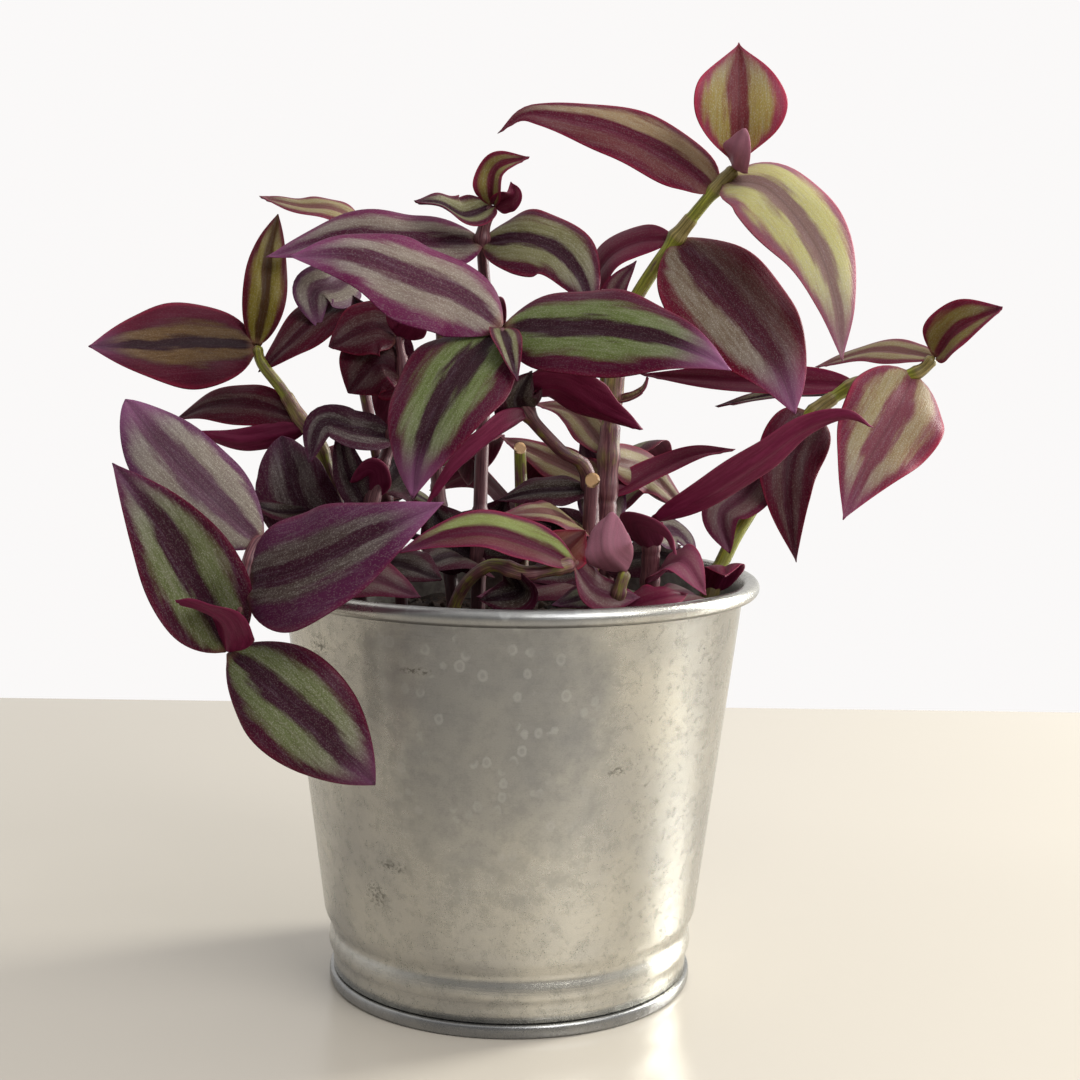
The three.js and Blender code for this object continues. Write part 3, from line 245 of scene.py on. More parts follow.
# Looks: colours of the middle, the margin and the stripes, then how strong the stripe is on the
# minus and on the plus side, how silvery it is (which also sets the painted sheen and glints), how
# lilac the tip is, how red the edge is and how far out the stripe reaches.
LOOKS = {
    "green": ((46, 11, 26), (74, 9, 39), (100, 114, 62), (0.95, 0.95), 0.5, 0.8, 0.1, 0.62),
    "fern": ((58, 24, 40), (68, 11, 39), (104, 114, 72), (1.0, 1.0), 0.8, 0.3, 0.1, 0.68),
    "lime": ((82, 20, 44), (98, 23, 55), (132, 144, 78), (0.1, 1.0), 0.3, 0.2, 0.2, 0.8),
    "silver": ((70, 23, 46), (98, 25, 68), (130, 118, 106), (0.9, 0.9), 0.8, 0.5, 0.0, 0.68),
    "frost": ((86, 53, 70), (88, 42, 74), (126, 116, 104), (1.0, 1.0), 0.9, 0.5, 0.0, 0.8),
    "lilac": ((58, 20, 40), (84, 31, 66), (92, 86, 76), (0.5, 0.6), 0.9, 0.7, 0.1, 0.5),
    "olive": ((50, 16, 31), (74, 12, 39), (116, 114, 76), (1.0, 1.0), 0.6, 0.1, 0.2, 0.66),
    "amber": ((36, 5, 17), (76, 8, 33), (98, 72, 36), (0.8, 0.8), 0.2, 0.3, 0.2, 0.46),
    "moss": ((62, 39, 13), (76, 14, 28), (112, 100, 32), (1.0, 1.0), 0.3, 0.0, 0.1, 0.7),
    "wine": ((68, 17, 35), (92, 5, 35), (116, 102, 84), (0.3, 1.0), 0.8, 0.6, 0.2, 0.7),
    "blush": ((108, 48, 62), (112, 38, 60), (148, 136, 92), (0.75, 0.9), 0.9, 0.3, 0.35, 0.68),
    "rose": ((94, 25, 48), (98, 20, 48), (162, 138, 104), (0.15, 1.0), 0.7, 0.0, 0.3, 0.76),
    # The next look is the pale leaf's own light stripes and blush, lightened further by a painted glow of
    # light shining through it.
    "pale": ((130, 102, 96), (142, 88, 102), (190, 186, 118), (1.0, 1.0), 1.0, 0.3, 0.25, 0.76),
    "tip": ((108, 46, 52), (142, 56, 78), (154, 138, 72), (1.0, 1.0), 0.8, 0.0, 0.55, 0.74),
    "sand": ((112, 74, 70), (108, 44, 60), (142, 128, 90), (1.0, 1.0), 0.5, 0.1, 0.2, 0.7),
    "dusk": ((84, 39, 55), (92, 28, 53), (108, 84, 80), (0.7, 0.7), 0.4, 0.1, 0.1, 0.7),
    # The next look gives near-black leaves whose colours are painted shade, for the shadowed gaps low among
    # the stems and round the rim.
    "night": ((32, 8, 18), (60, 8, 31), (58, 48, 40), (0.8, 0.8), 0.4, 0.0, 0.0, 0.6),
    "deep": ((62, 11, 29), (78, 6, 33), (86, 56, 54), (0.5, 0.6), 0.4, 0.0, 0.2, 0.5),
    "slate": ((58, 27, 42), (72, 28, 50), (86, 76, 74), (0.7, 0.7), 0.9, 0.1, 0.0, 0.6),
    "plain": ((96, 24, 50), (104, 26, 56), (112, 46, 64), (0.5, 0.5), 0.2, 0.0, 0.3, 0.7),
    "mauve": ((134, 70, 92), (142, 72, 98), (146, 90, 102), (0.6, 0.6), 0.3, 0.0, 0.3, 0.7),
    "curl": ((98, 30, 46), (110, 27, 52), (126, 114, 58), (1.0, 1.0), 0.4, 0.1, 0.3, 0.7),
    "plum": ((106, 23, 61), (110, 23, 63), (116, 44, 76), (0.5, 0.5), 0.3, 0.3, 0.2, 0.7),
    "shield": ((134, 70, 92), (188, 138, 152), (146, 90, 102), (0.6, 0.6), 0.3, 0.0, 0.0, 0.7),
    "rust": ((74, 25, 26), (92, 17, 31), (108, 62, 48), (0.6, 0.6), 0.1, 0.0, 0.3, 0.7),
}

# How lime green each stem is at its foot and at its tip, from 0 to 1.
STEM_GREEN = {
    "tall": (0.0, 0.8), "centre": (0.5, 0.2), "crown": (0.1, 0.2), "left": (0.35, 0.5),
    "upper_left": (0.2, 0.3), "hanging": (0.2, 0.1), "right": (0.7, 0.9), "front": (0.45, 0.35),
    "stub": (0.8, 0.4), "short": (0.1, 0.0), "inner": (0.1, 0.1), "back_right": (0.1, 0.4),
    "back_left": (0.1, 0.4), "back": (0.2, 0.4), "cut_front": (0.1, 0.1), "cut_back": (0.3, 0.5),
}
CUT_STEMS = ("cut_front", "cut_back")

LEAF_ROWS = 44
LEAF_COLUMNS = 14
BLADE_THICKNESS = 0.55
BASE_WIDTH = 2.4  # least width near the stem
TIP_WIDTH = 0.5
DROOP = 0.26  # how far the margins curl down, as a share of the half width
DROOP_FOLDED = 0.12  # the same on a leaf whose halves rise by FOLDED degrees or more
FOLDED = 20
DROOP_POWER = 2.4
FACING_SPOT = 0.4  # where along the blade its facing direction holds
INNER_COLUMNS = 0.93  # share of the half width that they spread over
MARGIN_COLUMN = 0.97  # where the last one before the edge is, as a share of the half width
RIB_DEPTH = 0.4
RIB_WIDTH = 0.7
MARGIN_WAVE = 0.07  # as a share of the half width
LENGTH_WAVE = 0.02  # as a share of the length
FIBRE_SHIFT = 7.3  # between the patterns of two leaves


# ---------------- lines and surfaces
def linear(colour):
    """A display colour of 0 to 255 as linear light."""
    c = np.array(colour, float) / 255
    return tuple(np.where(c <= 0.04045, c / 12.92, ((c + 0.055) / 1.055) ** 2.4))


def smooth_line(points, count):
    """count + 1 points evenly spaced on a smooth curve through the points."""
    p = np.array(points, float)
    p = np.vstack([2 * p[0] - p[1], p, 2 * p[-1] - p[-2]])
    t = np.linspace(0, 1, 33)[:-1, None]
    runs = []
    for a, b, c, d in zip(p, p[1:], p[2:], p[3:]):
        runs.append(0.5 * (2 * b + (c - a) * t + (2 * a - 5 * b + 4 * c - d) * t**2
                           + (3 * b - a - 3 * c + d) * t**3))
    line = np.vstack(runs + [p[-2][None]])
    return spread(line, count)


def spread(line, count):
    """The same line with count + 1 points evenly spaced along it."""
    run = np.r_[0, np.cumsum(np.linalg.norm(np.diff(line, axis=0), axis=1))]
    at = np.linspace(0, run[-1], count + 1)
    return np.stack([np.interp(at, run, line[:, k]) for k in range(line.shape[1])], -1)


def unit(v):
    return v / np.linalg.norm(v, axis=-1, keepdims=True)


def carried_frames(line, facing, spot):
    """Normals and sideways directions, from the facing direction at a share of the length."""
    tangents = unit(np.gradient(line, axis=0))
    normals = np.zeros_like(line)
    start = int(round(spot * (len(line) - 1)))
    normals[start] = unit(facing - np.dot(facing, tangents[start]) * tangents[start])
    for step, run in ((1, range(start + 1, len(line))), (-1, range(start - 1, -1, -1))):
        for i in run:
            last = normals[i - step]
            normals[i] = unit(last - np.dot(last, tangents[i]) * tangents[i])
    return normals, np.cross(tangents, normals)


def outline(s, base, point):
    """Share of the full width at a share of the length."""
    widest = base / (base + point)
    return (s**base * (1 - s)**point) / (widest**base * (1 - widest)**point)


def mesh_object(name, vertices, faces, material, attributes=()):
    """A mesh in millimetres as an object in metres, with its attributes."""
    mesh = bpy.data.meshes.new(name)
    mesh.from_pydata((np.asarray(vertices, float) * MM).tolist(), [], faces)
    for label, values in attributes:
        values = np.asarray(values, np.float32)
        layer = mesh.attributes.new(label, "FLOAT_VECTOR", "POINT")
        layer.data.foreach_set("vector", values.ravel())
    mesh.materials.append(material)
    mesh.polygons.foreach_set("use_smooth", [True] * len(mesh.polygons))
    mesh.update()
    made = bpy.data.objects.new(name, mesh)
    bpy.context.collection.objects.link(made)
    return made


def quads(grid):
    """The four-sided faces between neighbours in a grid of vertex numbers."""
    corners = grid[:-1, :-1], grid[:-1, 1:], grid[1:, 1:], grid[1:, :-1]
    return np.stack(corners, -1).reshape(-1, 4).tolist()


def wrapped(rows, columns, first=0):
    """Vertex numbers in rows, each of which ends with its first number again."""
    grid = first + np.arange(rows * columns).reshape(rows, columns)
    return np.c_[grid, grid[:, :1]]


def dress(piece, node=None):
    """Hides the CAD node that a piece replaces, if it has one, and puts the piece on the only body."""
    if node:
        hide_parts(node)
    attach(piece, "root")


def stem_of(leaf):
    """The stem that a leaf grows on: the longest name that its own starts with."""
    return STRAYS.get(leaf) or max((stem for stem in STEMS if leaf.startswith(stem)), key=len)


def stem_point(stem, place):
    """A point of the stem's line, counted in its rows."""
    rows = STEMS[stem]
    low = min(int(place), len(rows) - 2)
    a, b = np.array(rows[low][:3], float), np.array(rows[low + 1][:3], float)
    return a + (b - a) * (place - low)


# ---------------- leaves
def leaf_mesh(name, seed):
    """A thin closed blade with a midrib groove, lifted halves and a wavy margin."""
    row = LEAVES[name]
    place, via, facing, width, look, fold, (base, point) = *row, *USUAL[len(row) - 5:]
    rng = np.random.default_rng(seed)
    line = smooth_line([stem_point(stem_of(name), place), *via], LEAF_ROWS)
    normals, across = carried_frames(line, np.array(facing, float), FACING_SPOT)
    s = np.linspace(0, 1, LEAF_ROWS + 1)
    length = np.linalg.norm(np.diff(line, axis=0), axis=1).sum()
    least = np.where(s < 0.5, BASE_WIDTH, TIP_WIDTH)
    half = np.maximum(width * outline(s, base, point), least) / 2
    half[-1] = TIP_WIDTH / 4
    t = np.r_[-1, np.linspace(-1, 1, LEAF_COLUMNS - 1) * INNER_COLUMNS, 1][None, :]
    t[0, 1], t[0, -2] = -MARGIN_COLUMN, MARGIN_COLUMN
    h = half[:, None]
    droop = DROOP if fold < FOLDED else DROOP_FOLDED
    fold = math.radians(fold)
    rise = np.sin(fold) * (np.sqrt(t * t + 0.02) - 0.141) - droop * np.abs(t)**DROOP_POWER
    lift = h * rise - RIB_DEPTH * np.exp(-(t * h / RIB_WIDTH)**2) * (h > 1)
    phases = rng.uniform(0, 2 * math.pi, 4)
    ripples = rng.uniform(1.6, 3.0, 2)
    for side, phase, ripple in ((1, phases[0], ripples[0]), (-1, phases[1], ripples[1])):
        wave = np.sin(2 * math.pi * ripple * s + phase)[:, None] * np.clip(t * side, 0, 1)**2
        lift += MARGIN_WAVE * h * wave
    lift += LENGTH_WAVE * length * (np.sin(2 * math.pi * s + phases[2]) * s * (1 - s))[:, None]
    side = (h * np.cos(fold))[..., None] * t[..., None] * across[:, None]
    top = line[:, None] + side + lift[..., None] * normals[:, None]
    along = np.gradient(top, axis=0)
    over = np.gradient(top, axis=1)
    out = unit(np.cross(over, along))
    out *= np.sign((out * normals[:, None]).sum(-1, keepdims=True))
    thick = BLADE_THICKNESS * np.sqrt(np.clip(1 - np.abs(t)**4, 0, 1)) * np.ones_like(h)
    thick[[0, -1]] = 0
    under = top - out * thick[..., None]
    shape = np.ones((LEAF_ROWS + 1, LEAF_COLUMNS + 1))
    edge = shape == 0
    edge[[0, -1], :] = edge[:, [0, -1]] = True
    index = np.arange(shape.size).reshape(shape.shape)
    below = index.copy()
    below[~edge] = index.size + np.arange((~edge).sum())
    vertices = np.vstack([top.reshape(-1, 3), under[~edge]])
    blade = np.stack([s[:, None] * shape, t * shape, np.where(edge, 0.5, 1.0)], -1).reshape(-1, 3)
    fibre = np.stack([s[:, None] * length * shape, t * h, seed * FIBRE_SHIFT * shape], -1).reshape(-1, 3)
    hidden = (~edge).ravel()
    blade = np.vstack([blade, blade[hidden] * (1, 1, 0)])
    fibre = np.vstack([fibre, fibre[hidden]])
    middle, margin, stripe, strengths, silver, tip, red, reach = LOOKS[look]
    flat = np.ones((len(vertices), 3))
    shown = [("blade", blade), ("fibre", fibre), ("middle", flat * linear(middle)),
             ("margin", flat * linear(margin)), ("stripe", flat * linear(stripe)),
             ("traits", flat * (*strengths, silver)), ("touches", flat * (tip, red, reach))]
    return vertices, quads(index) + quads(below.T), shown


def make_leaf(name, seed, material):
    vertices, faces, attributes = leaf_mesh(name, seed)
    piece = mesh_object(f"{name}_leaf", vertices, faces, material, attributes)
    node = f"leaf_{name}"
    dress(piece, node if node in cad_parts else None)


# ---------------- stems
STEM_SIDES = 20
STEM_FACING = (0.31, -0.93, 0.2)
LINE_POINTS = 400
RING_STEP = 0.7
NODE_SWELL = 0.3
NODE_LENGTH = 1.6
SHEATH_LIFT = 0.28
SHEATH_LENGTH = 6.5
SHEATH_BELOW = 0.5  # how far below its leaf it starts
SHEATH_EDGE = 0.8
SHEATH_LEAST = 1.15  # a stem of a smaller radius has no sheath
RIDGES = 6
RIDGE_SHARE = 0.008
TURN_RADIUS = 1.6  # makes the angle round a stem millimetres
END_ROUND = 0.97
LIP_SHARE = 0.6
CUT_SLOPE = 0.9


def stem_mesh(name):
    """A closed tube with swollen nodes and a thin sheath above each leaf."""
    rows = STEMS[name]
    root = (rows[0][0], rows[0][1], SOIL_HEIGHT - STEM_DEPTH, rows[0][3])
    line = smooth_line([p[:3] for p in (root, *rows)], LINE_POINTS)
    run = np.r_[0, np.cumsum(np.linalg.norm(np.diff(line, axis=0), axis=1))]
    count = int(run[-1] / RING_STEP)
    line = spread(line, count)
    at = np.linspace(0, run[-1], count + 1)
    marks = [0.0]
    for a, b in zip((root, *rows), rows):
        marks.append(marks[-1] + float(np.linalg.norm(np.subtract(a[:3], b[:3]))))
    marks = np.array(marks) * run[-1] / marks[-1]
    radius = np.interp(at, marks, [root[3], *[row[3] for row in rows]])
    sheath = np.zeros_like(at)
    for leaf, (place, *_) in LEAVES.items():
        if stem_of(leaf) == name:
            spot = float(np.interp(place + 1, np.arange(len(marks)), marks))
            radius = radius + NODE_SWELL * np.exp(-((at - spot) / NODE_LENGTH)**2)
            cover = np.clip((at - spot + SHEATH_BELOW) / SHEATH_EDGE, 0, 1) * (at < spot + SHEATH_LENGTH)
            sheath = np.maximum(sheath, cover)
    radius = radius + SHEATH_LIFT * sheath * (radius > SHEATH_LEAST)
    if name not in CUT_STEMS:
        end = np.clip((run[-1] - at) / radius, 0, 1)
        radius = radius * np.sqrt(1 - (1 - end)**2 * END_ROUND)
    normals, across = carried_frames(line, np.array(STEM_FACING), 0.0)
    angles = np.arange(STEM_SIDES) * 2 * math.pi / STEM_SIDES
    ridge = 1 + RIDGE_SHARE * np.cos(RIDGES * angles)
    u, v = np.cos(angles) * ridge, np.sin(angles) * ridge
    tube = line[:, None] + radius[:, None, None] * (u[None, :, None] * normals[:, None]
                                                    + v[None, :, None] * across[:, None])
    lip = line[-1] + LIP_SHARE * (tube[-1] - line[-1])
    tube = np.vstack([tube, lip[None]])
    vertices = np.vstack([tube.reshape(-1, 3), line[:1], line[-1:]])
    cut = np.zeros(len(vertices))
    if name in CUT_STEMS:
        slant = line[-1][2] + CUT_SLOPE * (vertices[:, 1] - line[-1][1] - radius[-1])
        cut[vertices[:, 2] > slant - 0.1] = 1
        vertices[:, 2] = np.minimum(vertices[:, 2], slant)
    faces = quads(wrapped(count + 2, STEM_SIDES))
    last = (count + 1) * STEM_SIDES
    for j in range(STEM_SIDES):
        k = (j + 1) % STEM_SIDES
        faces += [(k, j, last + STEM_SIDES), (last + j, last + k, last + STEM_SIDES + 1)]
    low, high = STEM_GREEN[name]
    green = low + (high - low) * at / run[-1]
    at, green, sheath = (np.r_[values, values[-1]] for values in (at, green, sheath))
    along = np.repeat(at, STEM_SIDES)
    turn = np.tile(angles, count + 2) * TURN_RADIUS
    stalk = np.stack([along, turn, np.repeat(green, STEM_SIDES)], -1)
    stalk = np.vstack([stalk, (0, 0, low), (run[-1], 0, high)])
    cover = np.r_[np.repeat(sheath, STEM_SIDES), 0, 0]
    kind = np.stack([cover, cut, np.zeros_like(cover)], -1)
    return vertices, faces, [("stalk", stalk), ("kind", kind)]


def make_stem(name, material):
    vertices, faces, attributes = stem_mesh(name)
    piece = mesh_object(f"{name}_stem", vertices, faces, material, attributes)
    dress(piece, f"stem_{name}")


# ---------------- pot and soil
POT_SEGMENTS = 144
GAP = 0.3  # between pieces that touch
BAND_HEIGHT = 7.2  # top of the plain band above the foot
FOLD_RADIUS = 1.3  # of the folds in the sheet
BEAD_FROM, BEAD_TO = -125, 165  # degrees that the rolled rim turns through
SOIL_SEED = 5
SOIL_RINGS = 34
SOIL_SIDES = 96
SOIL_WAVES = 26
WAVINESS = 0.16
WAVE_HEIGHT = 0.22
GRAIN_HEIGHT = 0.35
CRUMBS = 420
SMALL_CRUMB = 0.5
CRUMB_SPREAD = 1.6


def lathe(profile, segments):
    """A closed profile of (radius, height) points turned round Z."""
    angles = np.arange(segments) * 2 * math.pi / segments
    radius, height = np.array(profile, float).T
    vertices = np.stack([np.outer(np.cos(angles), radius), np.outer(np.sin(angles), radius),
                         np.outer(np.ones(segments), height)], -1).reshape(-1, 3)
    grid = wrapped(segments, len(profile))
    return vertices, quads(np.r_[grid, grid[:1]].T)


def rounded(points, radius, steps=5):
    """The open line with its inner corners rounded."""
    p = [np.array(q, float) for q in points]
    out = [p[0]]
    for a, b, c in zip(p, p[1:], p[2:]):
        cut = min(radius, 0.45 * np.linalg.norm(a - b), 0.45 * np.linalg.norm(c - b))
        start, end = b + unit(a - b) * cut, b + unit(c - b) * cut
        for i in range(steps + 1):
            t = i / steps
            out.append((1 - t)**2 * start + 2 * t * (1 - t) * b + t * t * end)
    out.append(p[-1])
    return out


def wall_profile():
    """Up the outside, round the rolled rim and down the inside."""
    bead_at = np.array([RIM_RADIUS - RIM_BEAD, POT_HEIGHT - RIM_BEAD])
    outside = rounded([
        (BAND_RADIUS, BASE_HEIGHT + GAP), (BAND_RADIUS, BAND_HEIGHT),
        (RIDGE_RADIUS + 0.2, RIDGE_HEIGHT - 0.9), (RIDGE_RADIUS, RIDGE_HEIGHT + 1.2),
        (GROOVE_RADIUS, GROOVE_HEIGHT), (WALL_FOOT_RADIUS, WALL_FOOT_HEIGHT),
        (WALL_TOP_RADIUS, POT_HEIGHT - 4.2)], FOLD_RADIUS)
    bead = []
    for degrees in np.linspace(BEAD_FROM, BEAD_TO, 21):
        a = math.radians(degrees)
        bead.append(bead_at + RIM_BEAD * np.array([math.cos(a), math.sin(a)]))
    inside = [q - np.array([WALL_THICKNESS, 0]) for q in outside[::-1]]
    return [*outside, *bead, *inside]


def inside_radius(z):
    """The inside radius of the leaning wall at a height."""
    t = (z - WALL_FOOT_HEIGHT) / (POT_HEIGHT - 2 * RIM_BEAD - WALL_FOOT_HEIGHT)
    return WALL_FOOT_RADIUS + (WALL_TOP_RADIUS - WALL_FOOT_RADIUS) * t - WALL_THICKNESS


def make_pot(material):
    vertices, faces = lathe(wall_profile(), POT_SEGMENTS)
    wall = mesh_object("steel_pot", vertices, faces, material)
    dress(wall, "pot_wall")
    foot = rounded([(0.01, 0), (BASE_RADIUS - 0.2, 0), (BASE_RADIUS + 0.1, 1.6),
                    (BASE_RADIUS - 0.2, BASE_HEIGHT), (0.01, BASE_HEIGHT)], 0.9)
    vertices, faces = lathe(foot, POT_SEGMENTS)
    base = mesh_object("steel_foot", vertices, faces, material)
    dress(base, "pot_base")


def make_soil(material):
    """The soil's own body, with a crumbly top and loose crumbs on it."""
    rng = np.random.default_rng(SOIL_SEED)
    rings, sides = SOIL_RINGS, SOIL_SIDES
    edge = inside_radius(SOIL_HEIGHT) - 0.5
    waves = rng.normal(size=(SOIL_WAVES, 2)) * WAVINESS
    phases = rng.uniform(0, 2 * math.pi, SOIL_WAVES)
    angles = np.arange(sides) * 2 * math.pi / sides

    def height(x, y):
        bumps = sum(math.sin(w[0] * x + w[1] * y + f) for w, f in zip(waves, phases))
        return SOIL_HEIGHT + SOIL_CROWN * (1 - (x * x + y * y) / edge**2) + WAVE_HEIGHT * bumps

    vertices = [(0, 0, height(0, 0))]
    for r in np.linspace(0, edge, rings + 1)[1:]:
        for a in angles:
            x, y = r * math.cos(a), r * math.sin(a)
            vertices.append((x, y, height(x, y) + rng.normal() * GRAIN_HEIGHT))
    waist = BAND_RADIUS - WALL_THICKNESS - 0.9
    shoulder = WALL_FOOT_HEIGHT + 3
    for r, z in ((inside_radius(shoulder) - 0.6, shoulder), (waist, shoulder - 1),
                 (waist, BASE_HEIGHT + GAP)):
        vertices += [(r * math.cos(a), r * math.sin(a), z) for a in angles]
    vertices.append((0, 0, BASE_HEIGHT + GAP))
    faces = quads(wrapped(rings + 3, sides, 1).T)
    last = len(vertices) - 1
    for j in range(sides):
        k = (j + 1) % sides
        faces += [(0, 1 + j, 1 + k), (last - sides + j, last, last - sides + k)]
    crumb = bmesh.new()
    bmesh.ops.create_icosphere(crumb, subdivisions=1, radius=1)
    ball = np.array([v.co for v in crumb.verts])
    ball_faces = [tuple(v.index for v in f.verts) for f in crumb.faces]
    crumb.free()
    for _ in range(CRUMBS):
        r, a = edge * 0.97 * math.sqrt(rng.random()), rng.uniform(0, 2 * math.pi)
        size = SMALL_CRUMB + CRUMB_SPREAD * rng.random()**2.5
        x, y = r * math.cos(a) * (1 - size / edge), r * math.sin(a) * (1 - size / edge)
        lump = ball * rng.uniform(0.65, 1.0, (len(ball), 1)) * rng.uniform(0.6, 1.2, 3) * size
        first = len(vertices)
        vertices += [tuple(p) for p in lump + (x, y, height(x, y) + size * 0.3)]
        faces += [tuple(first + i for i in f) for f in ball_faces]
    piece = mesh_object("potting_soil", vertices, faces, material)
    dress(piece, "soil")


# ---------------- materials
class Graph:
    """The nodes of a material or of the world, built by short calls."""

    def __init__(self, owner):
        self.owner = owner
        self.owner.use_nodes = True
        self.tree = self.owner.node_tree
        self.tree.nodes.clear()

    def node(self, kind, inputs=(), **settings):
        made = self.tree.nodes.new("ShaderNode" + kind)
        for key, value in settings.items():
            setattr(made, key, value)
        for key, value in dict(inputs).items():
            self.put(made.inputs[key], value)
        return made

    def put(self, socket, value):
        if isinstance(value, bpy.types.NodeSocket):
            self.tree.links.new(value, socket)
        elif hasattr(socket.default_value, "__len__") and len(socket.default_value) == 4:
            socket.default_value = (*value[:3], 1)
        else:
            socket.default_value = value

    def math(self, operation, a, b=0.0):
        return self.node("Math", {0: a, 1: b}, operation=operation).outputs[0]

    def times(self, a, b):
        return self.math("MULTIPLY", a, b)

    def plus(self, a, b):
        return self.math("ADD", a, b)

    def minus(self, a, b):
        return self.math("SUBTRACT", a, b)

    def rest(self, a):
        """What is left of one."""
        return self.minus(1.0, a)

    def step(self, value, low, high, least=0.0, most=1.0, kind="SMOOTHSTEP"):
        """Goes from least at low to most at high."""
        inputs = {0: value, 1: low, 2: high, 3: least, 4: most}
        return self.node("MapRange", inputs, interpolation_type=kind).outputs[0]

    def mix(self, share, a, b):
        """Mixes two colours, each a socket or a display colour of 0 to 255."""
        a, b = (linear(c) if isinstance(c, tuple) else c for c in (a, b))
        return self.node("Mix", {0: share, 6: a, 7: b}, data_type="RGBA").outputs[2]

    def attribute(self, name):
        return self.node("Attribute", attribute_name=name).outputs["Vector"]

    def split(self, vector):
        return self.node("SeparateXYZ", {0: vector}).outputs

    def scaled(self, vector, scale):
        return self.node("VectorMath", {0: vector, 1: scale}, operation="MULTIPLY").outputs[0]

    def noise(self, vector, scale, detail=3.0, rough=0.55):
        inputs = {"Vector": vector, "Scale": scale, "Detail": detail, "Roughness": rough}
        return self.node("TexNoise", inputs).outputs[0]

    def cells(self, vector, scale, output="Distance"):
        return self.node("TexVoronoi", {"Vector": vector, "Scale": scale}).outputs[output]

    def bump(self, height, distance, strength=1.0, normal=None):
        inputs = {"Height": height, "Distance": distance, "Strength": strength}
        if normal is not None:
            inputs["Normal"] = normal
        return self.node("Bump", inputs).outputs[0]

    def skin(self, colour, rough, **others):
        return self.node("BsdfPrincipled", {"Base Color": colour, "Roughness": rough, **others})

    def blend(self, share, a, b):
        made = self.node("MixShader", {0: share})
        for socket, shader in zip(made.inputs[1:], (a, b)):
            self.tree.links.new(shader.outputs[0], socket)
        return made

    def finish(self, shader, kind="OutputMaterial"):
        self.tree.links.new(shader.outputs[0], self.node(kind).inputs["Surface"])
        return self.owner


def material_graph(name):
    return Graph(bpy.data.materials.new(name))


def leaf_material():
    g = material_graph("tradescantia_leaf")
    s, t, top = g.split(g.attribute("blade"))[:3]
    fibre = g.attribute("fibre")
    minus_share, plus_share, silver = g.split(g.attribute("traits"))[:3]
    tip, red, reach = g.split(g.attribute("touches"))[:3]
    middle, margin, stripe = (g.attribute(n) for n in ("middle", "margin", "stripe"))
    out = g.math("ABSOLUTE", t)
    wobble = g.minus(g.noise(g.scaled(fibre, (0.09, 0.5, 1)), 1.0, 2.0), 0.5)
    streak = g.noise(g.scaled(fibre, (0.16, 1.5, 1)), 1.0, 3.0, 0.6)
    fine = g.noise(g.scaled(fibre, (1.1, 2.6, 1)), 1.8, 3.0, 0.7)
    grain = g.cells(g.scaled(fibre, (1.3, 2.0, 1)), 1.6)
    place = g.plus(out, g.times(wobble, 0.46))
    past = g.minus(place, reach)
    inner = g.math("DIVIDE", place, reach)
    band = g.times(g.step(inner, 0.24, 0.52), g.rest(g.step(past, -0.13, 0.13)))
    ends = g.times(g.step(s, 0.0, 0.05), g.rest(g.step(s, 0.7, 0.96)))
    plus_side = g.step(t, -0.02, 0.02)
    strength = g.plus(g.times(plus_share, plus_side), g.times(minus_share, g.rest(plus_side)))
    band = g.times(g.times(band, ends), strength)
    patchy = g.step(g.plus(g.times(streak, 0.8), g.times(fine, 0.4)), 0.38, 0.66)
    band = g.times(band, g.plus(0.68, g.times(patchy, 0.32)))
    ground = g.mix(g.step(place, 0.3, 0.7), middle, margin)
    # Painted sheen: a greyish lilac haze over the middle and margins where the streaks run, stronger on
    # silvery leaves.
    veil = g.times(g.step(streak, 0.48, 0.7), g.times(silver, 0.13))
    ground = g.mix(veil, ground, (150, 132, 150))
    silvered = g.mix(g.times(g.step(streak, 0.4, 0.75), g.times(silver, 0.34)), stripe, (156, 146, 142))
    silvered = g.mix(g.times(g.step(s, 0.5, 0.9), g.times(silver, 0.6)), silvered, (152, 142, 142))
    colour = g.mix(band, ground, silvered)
    # Painted glints: fine bright specks mixed into the colour, stronger on silvery leaves and their
    # stripes.
    glint_specks = g.times(g.step(grain, 0.6, 0.15), g.step(fine, 0.36, 0.62))
    painted_glint = g.times(glint_specks, g.times(silver, g.plus(0.16, g.times(band, 0.36))))
    colour = g.mix(painted_glint, colour, (200, 194, 184))
    colour = g.mix(g.times(g.times(g.step(s, 0.72, 1.0), tip), 0.75), colour, (166, 104, 150))
    rim = g.step(out, 0.86, 0.99)
    colour = g.mix(g.times(rim, red), colour, (190, 44, 78))
    colour = g.mix(g.times(g.step(s, 0.07, 0.0), 0.5), colour, (150, 110, 90))
    rib = g.times(g.step(out, 0.05, 0.0), 0.35)
    colour = g.mix(rib, colour, g.mix(0.5, middle, (20, 8, 12)))
    back = g.mix(g.step(streak, 0.35, 0.7), (92, 20, 52), (124, 42, 76))
    back = g.mix(g.times(g.step(out, 0.8, 1.0), 0.5), back, (150, 66, 92))
    back = g.mix(0.5, back, margin)
    colour = g.mix(g.step(top, 0.3, 0.6), back, colour)
    veins = g.noise(g.scaled(fibre, (0.05, 1.7, 1)), 1.0, 1.0)
    normal = g.bump(g.plus(veins, g.times(fine, 0.25)), 0.00014, 0.5)
    normal = g.bump(grain, 0.00008, 0.35, normal)
    rough = g.plus(0.34, g.times(fine, 0.2))
    skin = g.skin(colour, rough, **{"Normal": normal, "Specular IOR Level": 0.12})
    through = g.node("BsdfTranslucent", {"Color": colour, "Normal": normal})
    return g.finish(g.blend(0.22, skin, through))


